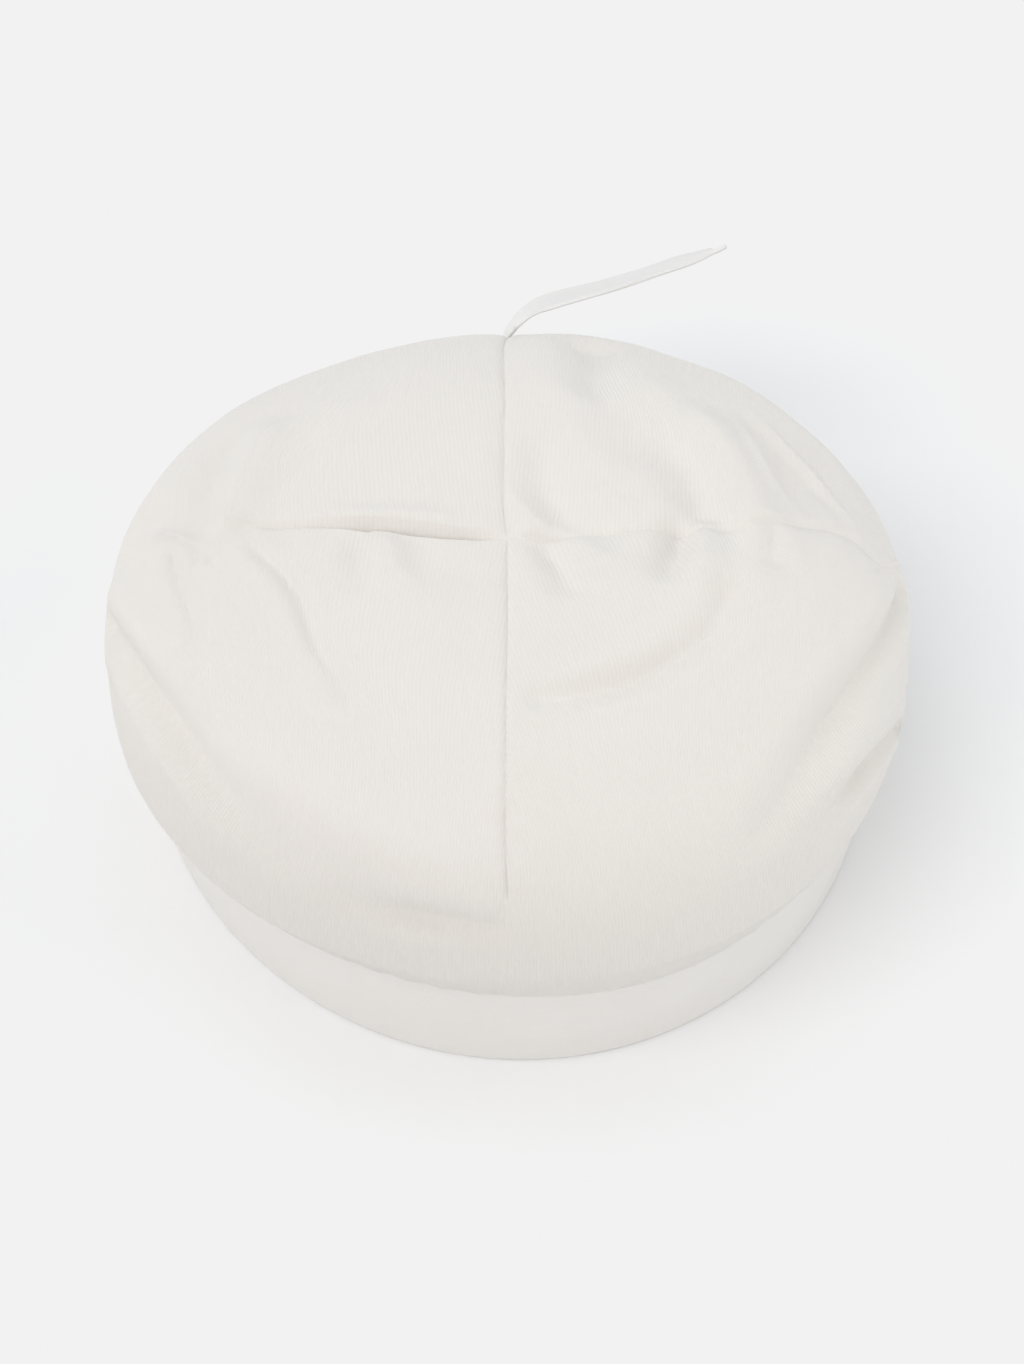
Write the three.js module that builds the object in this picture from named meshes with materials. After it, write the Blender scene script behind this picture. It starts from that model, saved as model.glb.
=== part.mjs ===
// Soft jersey baby cap standing on its rim: a darted crown, a doubled band and a sewn-in label.
// Millimetres, +Z up, the cap's front towards -Y and its right, as seen from the front, towards +X.
import * as THREE from 'three';
import { ParametricGeometry } from 'three/addons/geometries/ParametricGeometry.js';
import { mergeVertices } from 'three/addons/utils/BufferGeometryUtils.js';

const DEG = Math.PI / 180;

// Gap kept between pieces that are sewn together on the real cap.
const SEWN_GAP = 0.3;

// Depth from the rim's middle to the middle of the whole cap, label included.
const CENTRE_SHIFT = 6.33;

// The band's oval at its outer face.
const BAND = {
  halfWidth: 63.4,
  frontReach: 71.7,
  backReach: 63.2,
  skew: 0.02,
  height: 20.7,
  thickness: 2.4,
  edgeRound: 0.6,
  belly: 0.5,
};

// Where the crown hangs lower over the band, at the front right.
const SAG = { depth: 3.2, azimuth: 312, spread: 34 };

// The crown as a soft dome: how far it reaches each way, how square its shoulders are.
const CROWN = {
  halfWidth: 70.1,
  frontReach: 73.3,
  backReach: 65.8,
  sideBulgeHeight: 24.8,
  frontBulgeHeight: 25.0,
  backBulgeHeight: 25.6,
  topHeight: 59.8,
  squarenessFrontBack: 2.23,
  squarenessLeft: 3.2,
  squarenessRightFront: 3.7,
  squarenessRightBack: 2.7,
  apexDip: 5.4,
  apexDipSpread: 0.45,
  seamInset: 2.0,
  wall: 1.6,
  panelPuff: 1.0,
};

// The four darts that meet at the top; azimuth is counted from +X towards +Y, slope from the apex.
const DARTS = [
  { name: 'right', azimuth: 0, tipSlope: 66, depth: 1.6, halfWidth: 1.9, dimple: 1.3 },
  { name: 'back', azimuth: 90, tipSlope: 74, depth: 1.5, halfWidth: 1.9, dimple: 0.8 },
  { name: 'left', azimuth: 180, tipSlope: 46, depth: 1.9, halfWidth: 2.1, dimple: 1.8 },
  { name: 'front', azimuth: 270, tipSlope: 66, depth: 1.4, halfWidth: 1.8, dimple: 1.4 },
];
const DIMPLE_RADIUS = 5;
const DART_FADE = 7;

// Soft folds as straight runs on the cloth; lift above zero is a ridge and below zero a valley.
const FOLDS = [
  { name: 'left front valley', az0: 184, slope0: 35, az1: 229, slope1: 37, halfWidth: 4.5, lift: -1.7 },
  { name: 'left tip crease', az0: 178, slope0: 53, az1: 189, slope1: 43, halfWidth: 3.5, lift: -1.3 },
  { name: 'left tip tuck', az0: 191, slope0: 46, az1: 211, slope1: 51, halfWidth: 4, lift: -1.3 },
  { name: 'left tip swell', az0: 176, slope0: 62, az1: 190, slope1: 63, halfWidth: 6, lift: 1.3 },
  { name: 'left low valley', az0: 187, slope0: 73, az1: 206, slope1: 59, halfWidth: 7, lift: -1.8 },
  { name: 'left low valley, end', az0: 206, slope0: 59, az1: 230, slope1: 60, halfWidth: 7, lift: -1.4 },
  { name: 'front right valley', az0: 276, slope0: 29, az1: 330, slope1: 32, halfWidth: 6.5, lift: -1.4 },
  { name: 'front right swell', az0: 300, slope0: 17, az1: 330, slope1: 24, halfWidth: 6, lift: 0.9 },
  { name: 'front left swell', az0: 196, slope0: 22, az1: 232, slope1: 24, halfWidth: 6, lift: 0.8 },
  { name: 'right back ridge', az0: 54, slope0: 37, az1: 6, slope1: 31, halfWidth: 4.5, lift: 1.5 },
  { name: 'right back valley', az0: 66, slope0: 32, az1: 20, slope1: 24, halfWidth: 4.5, lift: -1.3 },
  { name: 'right shoulder ridge', az0: 34, slope0: 40, az1: 7, slope1: 44, halfWidth: 3.5, lift: 0.9 },
  { name: 'right side valley', az0: 356, slope0: 63, az1: 324, slope1: 51, halfWidth: 6, lift: -1.7 },
  { name: 'right low valley', az0: 340, slope0: 79, az1: 305, slope1: 68, halfWidth: 7, lift: -1.7 },
  { name: 'left back ridge', az0: 140, slope0: 44, az1: 170, slope1: 38, halfWidth: 5, lift: 1.2 },
  { name: 'left back valley', az0: 152, slope0: 66, az1: 118, slope1: 74, halfWidth: 7, lift: -1.3 },
  { name: 'right back hang', az0: 30, slope0: 68, az1: 62, slope1: 76, halfWidth: 7, lift: -1.3 },
];

// The label's run from the back seam: along +X, off the cloth, and its lean towards the top.
const LABEL = { width: 22, length: 43, thickness: 1, slope: 71, lengthSteps: 18, widthSteps: 4 };
const LABEL_PATH = [
  { run: 0, rise: 0, lean: 8 },
  { run: 2.8, rise: 4, lean: 17 },
  { run: 7.5, rise: 6.9, lean: 24.5 },
  { run: 20, rise: 10.4, lean: 24.5 },
  { run: 38.6, rise: 17, lean: 17.5 },
];

// Steps of the skins: columns lie closer at the four seams, where the cloth is sharpest.
const COLUMNS = 96;
const COLUMN_GATHER = 0.68;
const DOME_ROWS = 19;
const ROLL_ROWS = 4;

const JERSEY = { color: 0xece8e3, roughness: 0.9 };
const BAND_JERSEY = { color: 0xe8e4df, roughness: 0.88 };
const TAPE = { color: 0xf4f3f0, roughness: 0.7 };

// Azimuth of a column, gathered towards the seams at every quarter turn.
function columnAzimuth(u) {
  const quarter = (u % 1) * 4;
  const whole = Math.floor(quarter);
  const part = quarter - whole;
  const eased = part - (COLUMN_GATHER * Math.sin(2 * Math.PI * part)) / (2 * Math.PI);
  return (whole + eased) * 90 * DEG;
}

function mixByDepth(azimuth, side, front, back) {
  const share = Math.sin(azimuth) ** 2;
  const end = Math.sin(azimuth) < 0 ? front : back;
  return side * (1 - share) + end * share;
}

// How far the seam between crown and band hangs below its usual height.
function sagAt(azimuth) {
  const away = ((azimuth / DEG - SAG.azimuth + 540) % 360) - 180;
  return SAG.depth * Math.exp(-((away / SAG.spread) ** 2));
}

// The band's oval, pushed out a little at the front right and back left.
function bandPlan(azimuth, inset) {
  const pull = 1 - BAND.skew * Math.sin(2 * azimuth);
  const depth = Math.sin(azimuth) < 0 ? BAND.frontReach : BAND.backReach;
  const x = BAND.halfWidth * Math.cos(azimuth) * pull;
  const y = depth * Math.sin(azimuth) * pull;
  const nx = Math.cos(azimuth) / BAND.halfWidth;
  const ny = Math.sin(azimuth) / depth;
  const length = Math.hypot(nx, ny);
  return new THREE.Vector2(x - (inset * nx) / length, y - (inset * ny) / length);
}

// The crown without seams and folds. Slope 0 is the apex, 90 the widest line, 180 the band seam.
function crownBase(azimuth, slope) {
  const c = Math.cos(azimuth);
  const s = Math.sin(azimuth);
  const sag = sagAt(azimuth);
  const bulge = mixByDepth(
    azimuth, CROWN.sideBulgeHeight, CROWN.frontBulgeHeight, CROWN.backBulgeHeight) - 0.7 * sag;
  const wideX = CROWN.halfWidth * c;
  const wideY = (s < 0 ? CROWN.frontReach : CROWN.backReach) * s;
  if (slope > 90) {
    const roll = (slope - 90) * DEG;
    const seam = bandPlan(azimuth, CROWN.seamInset);
    const seamHeight = BAND.height + SEWN_GAP - sag;
    return new THREE.Vector3(
      seam.x + (wideX - seam.x) * Math.cos(roll),
      seam.y + (wideY - seam.y) * Math.cos(roll),
      seamHeight + (bulge - seamHeight) * (1 - Math.sin(roll)));
  }
  const backward = THREE.MathUtils.smoothstep(s, -0.2, 0.3);
  const rightSquareness = THREE.MathUtils.lerp(
    CROWN.squarenessRightFront, CROWN.squarenessRightBack, backward);
  const sideSquareness = c < 0 ? CROWN.squarenessLeft : rightSquareness;
  const n = CROWN.squarenessFrontBack + (sideSquareness - CROWN.squarenessFrontBack) * c ** 4;
  const across = Math.sin(slope * DEG);
  const upward = Math.cos(slope * DEG);
  const reach = (across ** n + Math.max(upward, 0) ** n) ** (-1 / n);
  const out = reach * across;
  const dip = CROWN.apexDip * Math.exp(-((out / CROWN.apexDipSpread) ** 2));
  return new THREE.Vector3(
    wideX * out, wideY * out, bulge + (CROWN.topHeight - bulge) * reach * upward - dip);
}

function crownNormal(azimuth, slope) {
  if (slope < 0.5) {
    return new THREE.Vector3(0, 0, 1);
  }
  const step = 0.4;
  const low = Math.min(slope + step, 180);
  const down = crownBase(azimuth, low).sub(crownBase(azimuth, slope - step));
  const round = crownBase(azimuth + step * DEG, slope).sub(crownBase(azimuth - step * DEG, slope));
  return down.cross(round).normalize();
}

// The cloth laid flat round the apex: one degree of slope is about a millimetre of cloth.
function flat(azimuthDegrees, slope) {
  return new THREE.Vector2(
    slope * Math.cos(azimuthDegrees * DEG), slope * Math.sin(azimuthDegrees * DEG));
}

function foldLift(fold, spot) {
  const from = flat(fold.az0, fold.slope0);
  const run = flat(fold.az1, fold.slope1).sub(from);
  const along = spot.clone().sub(from).dot(run) / run.lengthSq();
  const held = THREE.MathUtils.clamp(along, 0, 1);
  const away = spot.distanceTo(from.clone().addScaledVector(run, held));
  return fold.lift * Math.exp(-((away / fold.halfWidth) ** 2));
}

// How far the real cloth stands off the plain crown: seams, dart tips, puffed panels and folds.
function crownRelief(azimuth, slope, base) {
  const radius = Math.hypot(base.x, base.y);
  const degrees = azimuth / DEG;
  const spot = flat(degrees, slope);
  let lift = CROWN.panelPuff * Math.sin(2 * azimuth) ** 2 * Math.sin(Math.min(slope, 120) * 1.5 * DEG);
  for (const dart of DARTS) {
    const turn = Math.abs(((degrees - dart.azimuth + 540) % 360) - 180) * DEG;
    const aside = turn > Math.PI / 2 ? radius : radius * Math.sin(turn);
    const behind = turn > Math.PI / 2 ? radius * -Math.cos(turn) : 0;
    const away = Math.hypot(aside, behind) / dart.halfWidth;
    const reach = 1 - THREE.MathUtils.smoothstep(slope, dart.tipSlope - DART_FADE, dart.tipSlope);
    lift -= dart.depth * reach * Math.exp(-(away ** 2)) * (0.4 + 0.6 * Math.min(1, radius / 8));
    const fromTip = spot.distanceTo(flat(dart.azimuth, dart.tipSlope)) / DIMPLE_RADIUS;
    lift -= dart.dimple * Math.exp(-(fromTip ** 2));
  }
  for (const fold of FOLDS) {
    lift += foldLift(fold, spot);
  }
  return lift * (1 - THREE.MathUtils.smoothstep(slope, 95, 160));
}

function crownSkin(azimuth, slope, depth) {
  const base = crownBase(azimuth, slope);
  const lift = crownRelief(azimuth, slope, base) - depth;
  return base.addScaledVector(crownNormal(azimuth, slope), lift);
}

// Row slopes from the apex to the band seam.
function rowSlope(row) {
  if (row <= DOME_ROWS) {
    return (90 * row) / DOME_ROWS;
  }
  return 90 + (90 * (row - DOME_ROWS)) / ROLL_ROWS;
}

function closedSkin(pointAt, columns, rows) {
  const skin = new ParametricGeometry(pointAt, columns, rows);
  skin.deleteAttribute('normal');
  skin.deleteAttribute('uv');
  const joined = mergeVertices(skin, 1e-4);
  joined.computeVertexNormals();
  return joined;
}

function crownGeometry() {
  const last = DOME_ROWS + ROLL_ROWS;
  const rows = 2 * last + 1;
  const pointAt = (u, v, target) => {
    const step = Math.round(v * rows);
    const inside = step <= last;
    const row = inside ? step : rows - step;
    target.copy(crownSkin(columnAzimuth(u), rowSlope(row), inside ? CROWN.wall : 0));
  };
  return closedSkin(pointAt, COLUMNS, rows);
}

// The band's section, going round from the flat rim up the outer face and down the inner one:
// inset from the outer face, share of the band's height, and rise from there.
function bandSection() {
  const r = BAND.edgeRound;
  const t = BAND.thickness;
  return [
    { inset: r, share: 0, rise: 0 },
    { inset: 0, share: 0, rise: r },
    { inset: -BAND.belly, share: 0.5, rise: 0 },
    { inset: 0, share: 1, rise: -r },
    { inset: r, share: 1, rise: 0 },
    { inset: t - r, share: 1, rise: 0 },
    { inset: t, share: 1, rise: -r },
    { inset: t, share: 0, rise: r },
    { inset: t - r, share: 0, rise: 0 },
  ];
}

function bandGeometry() {
  const section = bandSection();
  const pointAt = (u, v, target) => {
    const corner = section[Math.round(v * section.length) % section.length];
    const azimuth = columnAzimuth(u);
    const plan = bandPlan(azimuth, corner.inset);
    const height = BAND.height - sagAt(azimuth);
    target.set(plan.x, plan.y, height * corner.share + corner.rise);
  };
  return closedSkin(pointAt, COLUMNS, section.length);
}

// A flat tape bent along its path off the back seam.
function labelGeometry() {
  const seamAzimuth = 90 * DEG;
  const root = crownSkin(seamAzimuth, LABEL.slope, -SEWN_GAP);
  const off = crownNormal(seamAzimuth, LABEL.slope);
  const seamRun = crownBase(seamAzimuth, LABEL.slope + 5)
    .sub(crownBase(seamAzimuth, LABEL.slope - 5))
    .normalize();
  const path = new THREE.CatmullRomCurve3(
    LABEL_PATH.map((row) => new THREE.Vector3(row.run, row.rise, row.lean)));
  const tape = new THREE.BoxGeometry(
    LABEL.length, LABEL.width, LABEL.thickness, LABEL.lengthSteps, LABEL.widthSteps, 1);
  const spots = tape.attributes.position;
  for (let i = 0; i < spots.count; i += 1) {
    const share = spots.getX(i) / LABEL.length + 0.5;
    const at = path.getPoint(share);
    const ahead = path.getTangent(share).setZ(0).normalize();
    const along = new THREE.Vector3(1, 0, 0).multiplyScalar(ahead.x).addScaledVector(off, ahead.y);
    const face = new THREE.Vector3(-1, 0, 0).multiplyScalar(ahead.y).addScaledVector(off, ahead.x);
    const lean = at.z * DEG;
    const across = seamRun.clone().applyAxisAngle(along, lean);
    const up = face.applyAxisAngle(along, lean);
    const spot = root.clone()
      .add(new THREE.Vector3(at.x, 0, 0))
      .addScaledVector(off, at.y + LABEL.thickness / 2)
      .addScaledVector(across, spots.getY(i))
      .addScaledVector(up, spots.getZ(i));
    spots.setXYZ(i, spot.x, spot.y, spot.z);
  }
  tape.computeVertexNormals();
  return tape;
}

function piece(name, geometry, look) {
  const mesh = new THREE.Mesh(geometry, new THREE.MeshStandardMaterial(look));
  mesh.name = name;
  return mesh;
}

const cap = new THREE.Group();
cap.name = 'baby_cap';
cap.add(piece('crown', crownGeometry(), JERSEY));
cap.add(piece('band', bandGeometry(), BAND_JERSEY));
cap.add(piece('label', labelGeometry(), TAPE));
cap.position.y = -CENTRE_SHIFT;

export default cap;
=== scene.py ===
"""Soft baby cap of off-white cotton jersey, standing on its rim.

Laid out as a Blender add-on: every piece of the cap has an operator, and a panel in the sidebar lists them.
Shapes are worked out in millimetres round the middle of the rim, with +Z up and the front towards -Y.
A spot on the crown has an azimuth, counted from +X towards +Y, and a slope: 0 at the apex, 90 at the
widest line and 180 at the seam with the band, all in degrees.
"""

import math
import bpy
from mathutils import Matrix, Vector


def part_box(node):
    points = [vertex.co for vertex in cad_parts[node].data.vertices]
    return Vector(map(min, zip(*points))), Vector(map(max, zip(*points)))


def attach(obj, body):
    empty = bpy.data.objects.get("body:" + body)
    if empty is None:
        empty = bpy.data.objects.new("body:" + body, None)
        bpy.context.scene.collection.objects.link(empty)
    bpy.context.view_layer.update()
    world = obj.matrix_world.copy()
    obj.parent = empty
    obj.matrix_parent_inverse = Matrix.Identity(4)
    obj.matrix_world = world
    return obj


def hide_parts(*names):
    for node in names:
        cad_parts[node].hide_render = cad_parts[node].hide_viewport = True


bl_info = {
    "name": "Soft Baby Cap",
    "version": (1, 0, 0),
    "blender": (4, 5, 0),
    "location": "View3D > Sidebar > Cap",
    "description": "Builds a darted jersey baby cap with a folded band and a cloth label, and its stage",
    "category": "Add Mesh",
}

from collections import namedtuple

import bpy
import numpy as np
from bpy.props import FloatProperty, FloatVectorProperty, IntProperty, PointerProperty
from mathutils import Vector

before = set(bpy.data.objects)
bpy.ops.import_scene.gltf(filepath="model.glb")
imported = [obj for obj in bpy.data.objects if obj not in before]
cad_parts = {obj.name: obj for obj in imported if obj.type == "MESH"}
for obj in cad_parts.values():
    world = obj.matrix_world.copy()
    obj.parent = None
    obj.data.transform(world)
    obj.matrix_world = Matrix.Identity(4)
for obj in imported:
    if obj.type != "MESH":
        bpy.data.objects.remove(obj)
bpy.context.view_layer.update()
CROWN_LOW, CROWN_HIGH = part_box("crown")
BAND_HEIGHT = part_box("band")[1][2]

# The crown's reach to the front, in metres, fixes the middle of the rim. Its other reaches and the band's
# height come from the frame.
CROWN_FRONT_REACH = 0.0733
RIM_MIDDLE_Y = CROWN_LOW[1] + CROWN_FRONT_REACH

MM = 0.001
FRONT = 270
BACK = 90

# Where the crown hangs lower over the band, at the front right.
SAG_DEPTH = 3.2
SAG_AZIMUTH = 312
SAG_SPREAD = 34
SAG_SHARE_AT_BULGE = 0.7

# How square the crown's shoulders are, towards each side. The right one blends from front to back.
SQUARENESS_FRONT_BACK = 2.23
SQUARENESS_LEFT = 3.2
SQUARENESS_RIGHT_FRONT = 3.7
SQUARENESS_RIGHT_BACK = 2.7
RIGHT_BLEND = (-0.2, 0.3)

# Heights of the widest line at the sides, front and back, and the dip at the apex.
BULGE_SIDE = 24.8
BULGE_FRONT = 25.0
BULGE_BACK = 25.6
APEX_DIP = 5.4
APEX_DIP_SPREAD = 0.45
# At the apex the way off the cloth is straight up. Between these slopes it turns to the dome's own.
APEX_UPRIGHT = (0.3, 1.2)
# The four quarters swell between the darts down to this slope.
PUFF_END = 120

# The crown's hem lies just outside the band's top edge and hangs a little below it.
HEM_INSET = -0.4
ROLL_TURN = 60
HEM_DROP = 0.9
# The hem waves between these slopes: its height, how many waves go round, and how they drift.
HEM_RISE = (110, 160)
HEM_FALL = (168, 180)
HEM_WAVE = 0.18
HEM_WAVES = 61
HEM_DRIFT = 2.0
HEM_DRIFTS = 7

# Small lumps of the crown's soft cloth: their size, seed and share, and how much of them is lost at the hem.
CROWN_LUMPS = ((15, 3, 1.0), (7, 5, 0.45), (3, 8, 0.16))
LUMPS_LOST = 0.6
LUMPS_FADE = (120, 175)

# The band: its oval's skew, the rounding of its top edges and its rim, and how its lumps ease off there.
BAND_SKEW = 0.02
EDGE_DROP = 0.5
EDGE_SHOULDER_INSET = 0.15
EDGE_SHOULDER_DROP = 0.12
HIDDEN_DROP = 0.25
RIM_SQUARENESS = 0.5
BAND_EASE = 0.7
# Lumps of the band: their size, seed and share, and how much closer they lie upwards than along.
BAND_LUMPS = ((16, 21, 1.0, 2.2), (6, 22, 0.4, 2.0))
# The band's ends meet in a narrow join at the back, where its columns lie closer.
BAND_GATHER = 0.75
JOIN_WIDTH = 0.5
# Steps of the band, round the cap and up each layer, where the hidden sides have fewer, and the arcs of both
# folds at the rim: first and last angle and how many spots.
BAND_COLUMNS = 384
BAND_ROWS = 19
HIDDEN_ROW_STEP = 3
RIM_ARC = (6, 174, 15)
HIDDEN_ARC = (30, 150, 5)

# The four darts: their run over the cloth from the apex to the tip, as azimuth and slope. Depth is the sunk
# line at the stitches and width its half width, gape how deep the seam opens on the right of its run, and lip
# the edge that stands up beside it on the left and on the right. Fade is how far before the tip it flattens.
Dart = namedtuple("Dart", "name run depth width gape lip fade tip_dimple tip_radius")
DARTS = (
    Dart("right", ((-10, 0), (-6, 6), (-1.5, 10), (-0.5, 15.5), (0.5, 23), (0, 26.5), (-0.5, 32.5), (2.5, 39),
                   (3.2, 43.5), (2.7, 47), (2, 49.5), (-0.2, 51.5), (-2, 54)),
         0.7, 0.6, 0.0, (0.05, 0.1), 5, 0.5, 3.0),
    Dart("back", ((96, 0), (95, 6), (92, 16), (91, 27), (91, 46.5), (90, 62), (90, 74)),
         0.7, 0.55, 0.0, (0.0, 0.0), 5, 0.7, 4.0),
    Dart("left", ((187, 0), (181, 8), (179.3, 13), (179.4, 19.5), (179.5, 24), (179.5, 28), (179.4, 32.5),
                  (179.2, 35.5), (179, 37)),
         0.6, 0.5, 1.6, (0.0, 0.0), 3, 0.0, 2.0),
    Dart("front", ((268, 0), (269.5, 5), (270, 12.5), (269.7, 21.5), (269.5, 30), (269.5, 50), (270, 66)),
         0.75, 0.55, 0.0, (0.0, 0.08), 3, 0.5, 2.6),
)
# A dart shapes the cloth this far round and comes in at the apex. Its groove is sharper as the crest nears 1.
DART_REACH = 16
DART_START = (-3, 4)
GROOVE_CREST = 1.15
SHOULDER_DEPTH = 0.3
SHOULDER_WIDTH = 3.0
LIP_DISTANCE = 2.2
LIP_WIDTH = 1.4
# A gape opens and closes over these shares of the run. It is steep on the left and slants on the right.
GAPE_OPENS = (0.02, 0.18)
GAPE_CLOSES = (0.4, 0.95)
GAPE_EDGE = 0.3
GAPE_WIDTH = 1.6
GAPE_SLANT = 1.2
# Small puckers beside the stitches.
PUCKER_HEIGHT = 0.04
PUCKER_LENGTH = 4.3
PUCKER_DRIFT = 1.3
PUCKER_DRIFTS = 23
PUCKER_DISTANCE = 1.8
PUCKER_WIDTH = 1.6

# Between these slopes the jersey is drawn in towards the band, most at the front left. Its ribs stand higher
# there, and the cloth there is painted darker as painted shade.
GATHER_AND_SHADE_SLOPES = (50, 77)
GATHER_AND_SHADE_AZIMUTH = 245
GATHER_AND_SHADE_SPREAD = 48
GATHER_AND_SHADE_LEAST = 0.3
PAINTED_SHADE_TONE = 0.957
GATHER_RELIEF = 0.9

# Soft folds as runs over the cloth, azimuth and slope, and their half width at both ends. Lift above zero is
# a ridge and below zero a valley. Crest is 2 for a round fold and nears 1 for a sharp one. Start and end are
# the fold's strength there.
Fold = namedtuple("Fold", "name run width lift crest start end")
FOLDS = (
    Fold("left front valley",
         ((181, 35.5), (187.5, 33.5), (195.5, 31.2), (206, 30.8), (216.5, 32.5), (227.5, 34.8), (232.5, 37)),
         (0.9, 1.5), -1.5, 1.7, 0.4, 0.6),
    Fold("left knee", ((178.5, 38), (181.5, 40)), (1.6, 1.6), 0.6, 2.0, 1.0, 1.0),
    Fold("left seam lip", ((145, 5.5), (162, 9), (170, 15), (174.5, 21.5), (175.5, 28)),
         (1.8, 1.8), 1.0, 2.0, 0.2, 0.2),
    Fold("left seam pinch", ((192, 21), (202, 22.5), (210, 25)), (2.2, 3.0), -0.9, 1.7, 0.9, 0.0),
    Fold("left seam pleat", ((191.5, 16.5), (199, 17), (208, 19)), (2.0, 2.6), 1.4, 1.8, 0.9, 0.0),
    Fold("left cross hollow", ((197, 15.5), (217.5, 10), (245.5, 6)), (4.0, 4.0), -0.8, 2.0, 0.5, 0.5),
    Fold("left tip dimple", ((184, 47), (185.5, 46.5)), (1.2, 1.2), -0.7, 1.8, 1.0, 1.0),
    Fold("left tip lip", ((176.5, 54), (177.5, 49.5), (179.5, 45.5), (183.5, 41)),
         (1.2, 1.0), 0.6, 2.0, 0.2, 0.6),
    Fold("left tip swell", ((184.5, 57.5), (194, 54.5), (205, 51.5)), (5.0, 5.0), 1.6, 2.0, 0.3, 0.6),
    Fold("left low valley",
         ((182, 76.6), (193, 63.1), (202.5, 59.1), (207, 58.6), (216.5, 59.6), (225.5, 62.1), (236, 65.6)),
         (3.0, 4.6), -2.6, 1.9, 0.8, 0.2),
    Fold("left low shoulder", ((205, 50), (222.5, 52.5), (239.5, 55), (254, 58.5), (266, 62.5)),
         (6.0, 6.0), 2.0, 2.0, 0.2, 0.5),
    Fold("front tip patch", ((248, 72), (257, 71), (264, 71), (267.5, 71.5)),
         (3.4, 3.0), -1.7, 2.0, 0.2, 0.7),
    Fold("front right valley",
         ((279, 29.2), (290.5, 29.7), (304.5, 30.7), (316.5, 31.2), (326, 31.7), (331.5, 31.2),
          (337.5, 30.7)),
         (1.8, 2.2), -2.6, 1.6, 0.6, 0.8),
    Fold("right pinch one", ((335, 6), (322, 9), (313, 12.5), (307, 16)), (2.0, 3.4), -1.9, 1.7, 1.0, 0.0),
    Fold("right pleat one", ((347.5, 10), (333, 13), (320, 16.5)), (2.4, 3.4), 1.5, 1.9, 0.8, 0.2),
    Fold("right pinch two", ((362, 23), (352, 22.8), (343, 22.8), (332, 23.5)),
         (1.7, 3.0), -1.8, 1.7, 0.6, 0.0),
    Fold("right pleat two", ((360, 25.8), (351, 26), (342, 26.5), (334, 27.5)),
         (1.7, 2.6), 2.1, 1.9, 0.9, 0.3),
    Fold("right pinch three", ((358.5, 35), (347, 35)), (1.2, 2.4), -1.1, 1.6, 1.0, 0.0),
    Fold("right side valley",
         ((357.5, 63.8), (345.5, 57.3), (335.5, 54.8), (327, 55.3), (318, 58.8), (310.5, 63.8)),
         (2.5, 3.6), -2.7, 1.7, 0.9, 0.4),
    Fold("right side ridge", ((348, 73.8), (338, 66.3), (329, 63.8), (318, 65.3)),
         (2.4, 3.0), 0.9, 1.9, 0.8, 0.2),
    Fold("right low valley", ((345.5, 87.8), (332, 72.8), (325, 71.8), (317, 72.3)),
         (2.0, 3.0), -2.2, 1.7, 0.9, 0.1),
    Fold("right back valley", ((48.5, 31.8), (36, 29.3), (24.5, 28.8), (13, 27.3), (3, 25.8), (357, 23.8)),
         (5.4, 3.2), -2.6, 1.8, 0.3, 0.5),
    Fold("right back ridge", ((51.5, 37.3), (35.5, 34.6), (18.5, 33.6), (4, 33.1)),
         (4.2, 3.6), 2.8, 1.9, 0.3, 0.6),
    Fold("cross hollow", ((73.5, 24.5), (73.5, 17), (57, 10.5), (23.5, 9), (358, 10.5)),
         (4.2, 3.4), -1.9, 2.0, 0.3, 0.5),
    Fold("cross ridge", ((84, 8), (52, 5), (0, 5.5)), (1.8, 1.8), 1.0, 1.8, 0.4, 0.5),
    Fold("back right swoosh", ((71.5, 29), (58.5, 19.5), (37.5, 15.5), (25, 15.5)),
         (3.0, 3.0), 1.1, 1.8, 0.3, 0.2),
    Fold("back right dent", ((74, 51), (69.5, 37), (62, 26.5)), (4.2, 3.2), -2.4, 2.0, 1.0, 0.0),
    Fold("right shoulder ridge", ((40, 43.5), (26.5, 39.5), (15.5, 39), (5.5, 40)),
         (1.1, 1.1), 0.9, 1.7, 0.2, 0.3),
    Fold("right shoulder ripple", ((41.5, 48), (27, 46), (18.5, 47.5), (7.5, 50), (3, 50)),
         (1.1, 1.1), 0.9, 1.7, 0.2, 0.3),
    Fold("left back ridge", ((142, 41.5), (156.5, 37), (172, 36.5), (177.5, 36.5)),
         (3.2, 2.6), 3.0, 1.8, 0.0, 0.7),
    Fold("left back valley", ((158, 66), (142, 64), (126, 63), (112, 63)), (7.0, 7.0), -2.2, 2.0, 0.3, 0.3),
    Fold("right back hang", ((30, 68), (46, 72), (62, 76)), (7.0, 7.0), -2.1, 2.0, 0.2, 0.2),
)
# A fold reaches some half widths to each side, and cloth gathers on its flanks.
FOLD_REACH = 4.5
FLANK_SHARE = 0.22
FLANK_DISTANCE = 2.1
FLANK_WIDTH = 0.9
# Folds reach their full strength over this share of the run, and fade out over these slopes above the hem.
FULL_STRENGTH = 0.4
FOLDS_FADE = (95, 160)

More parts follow.
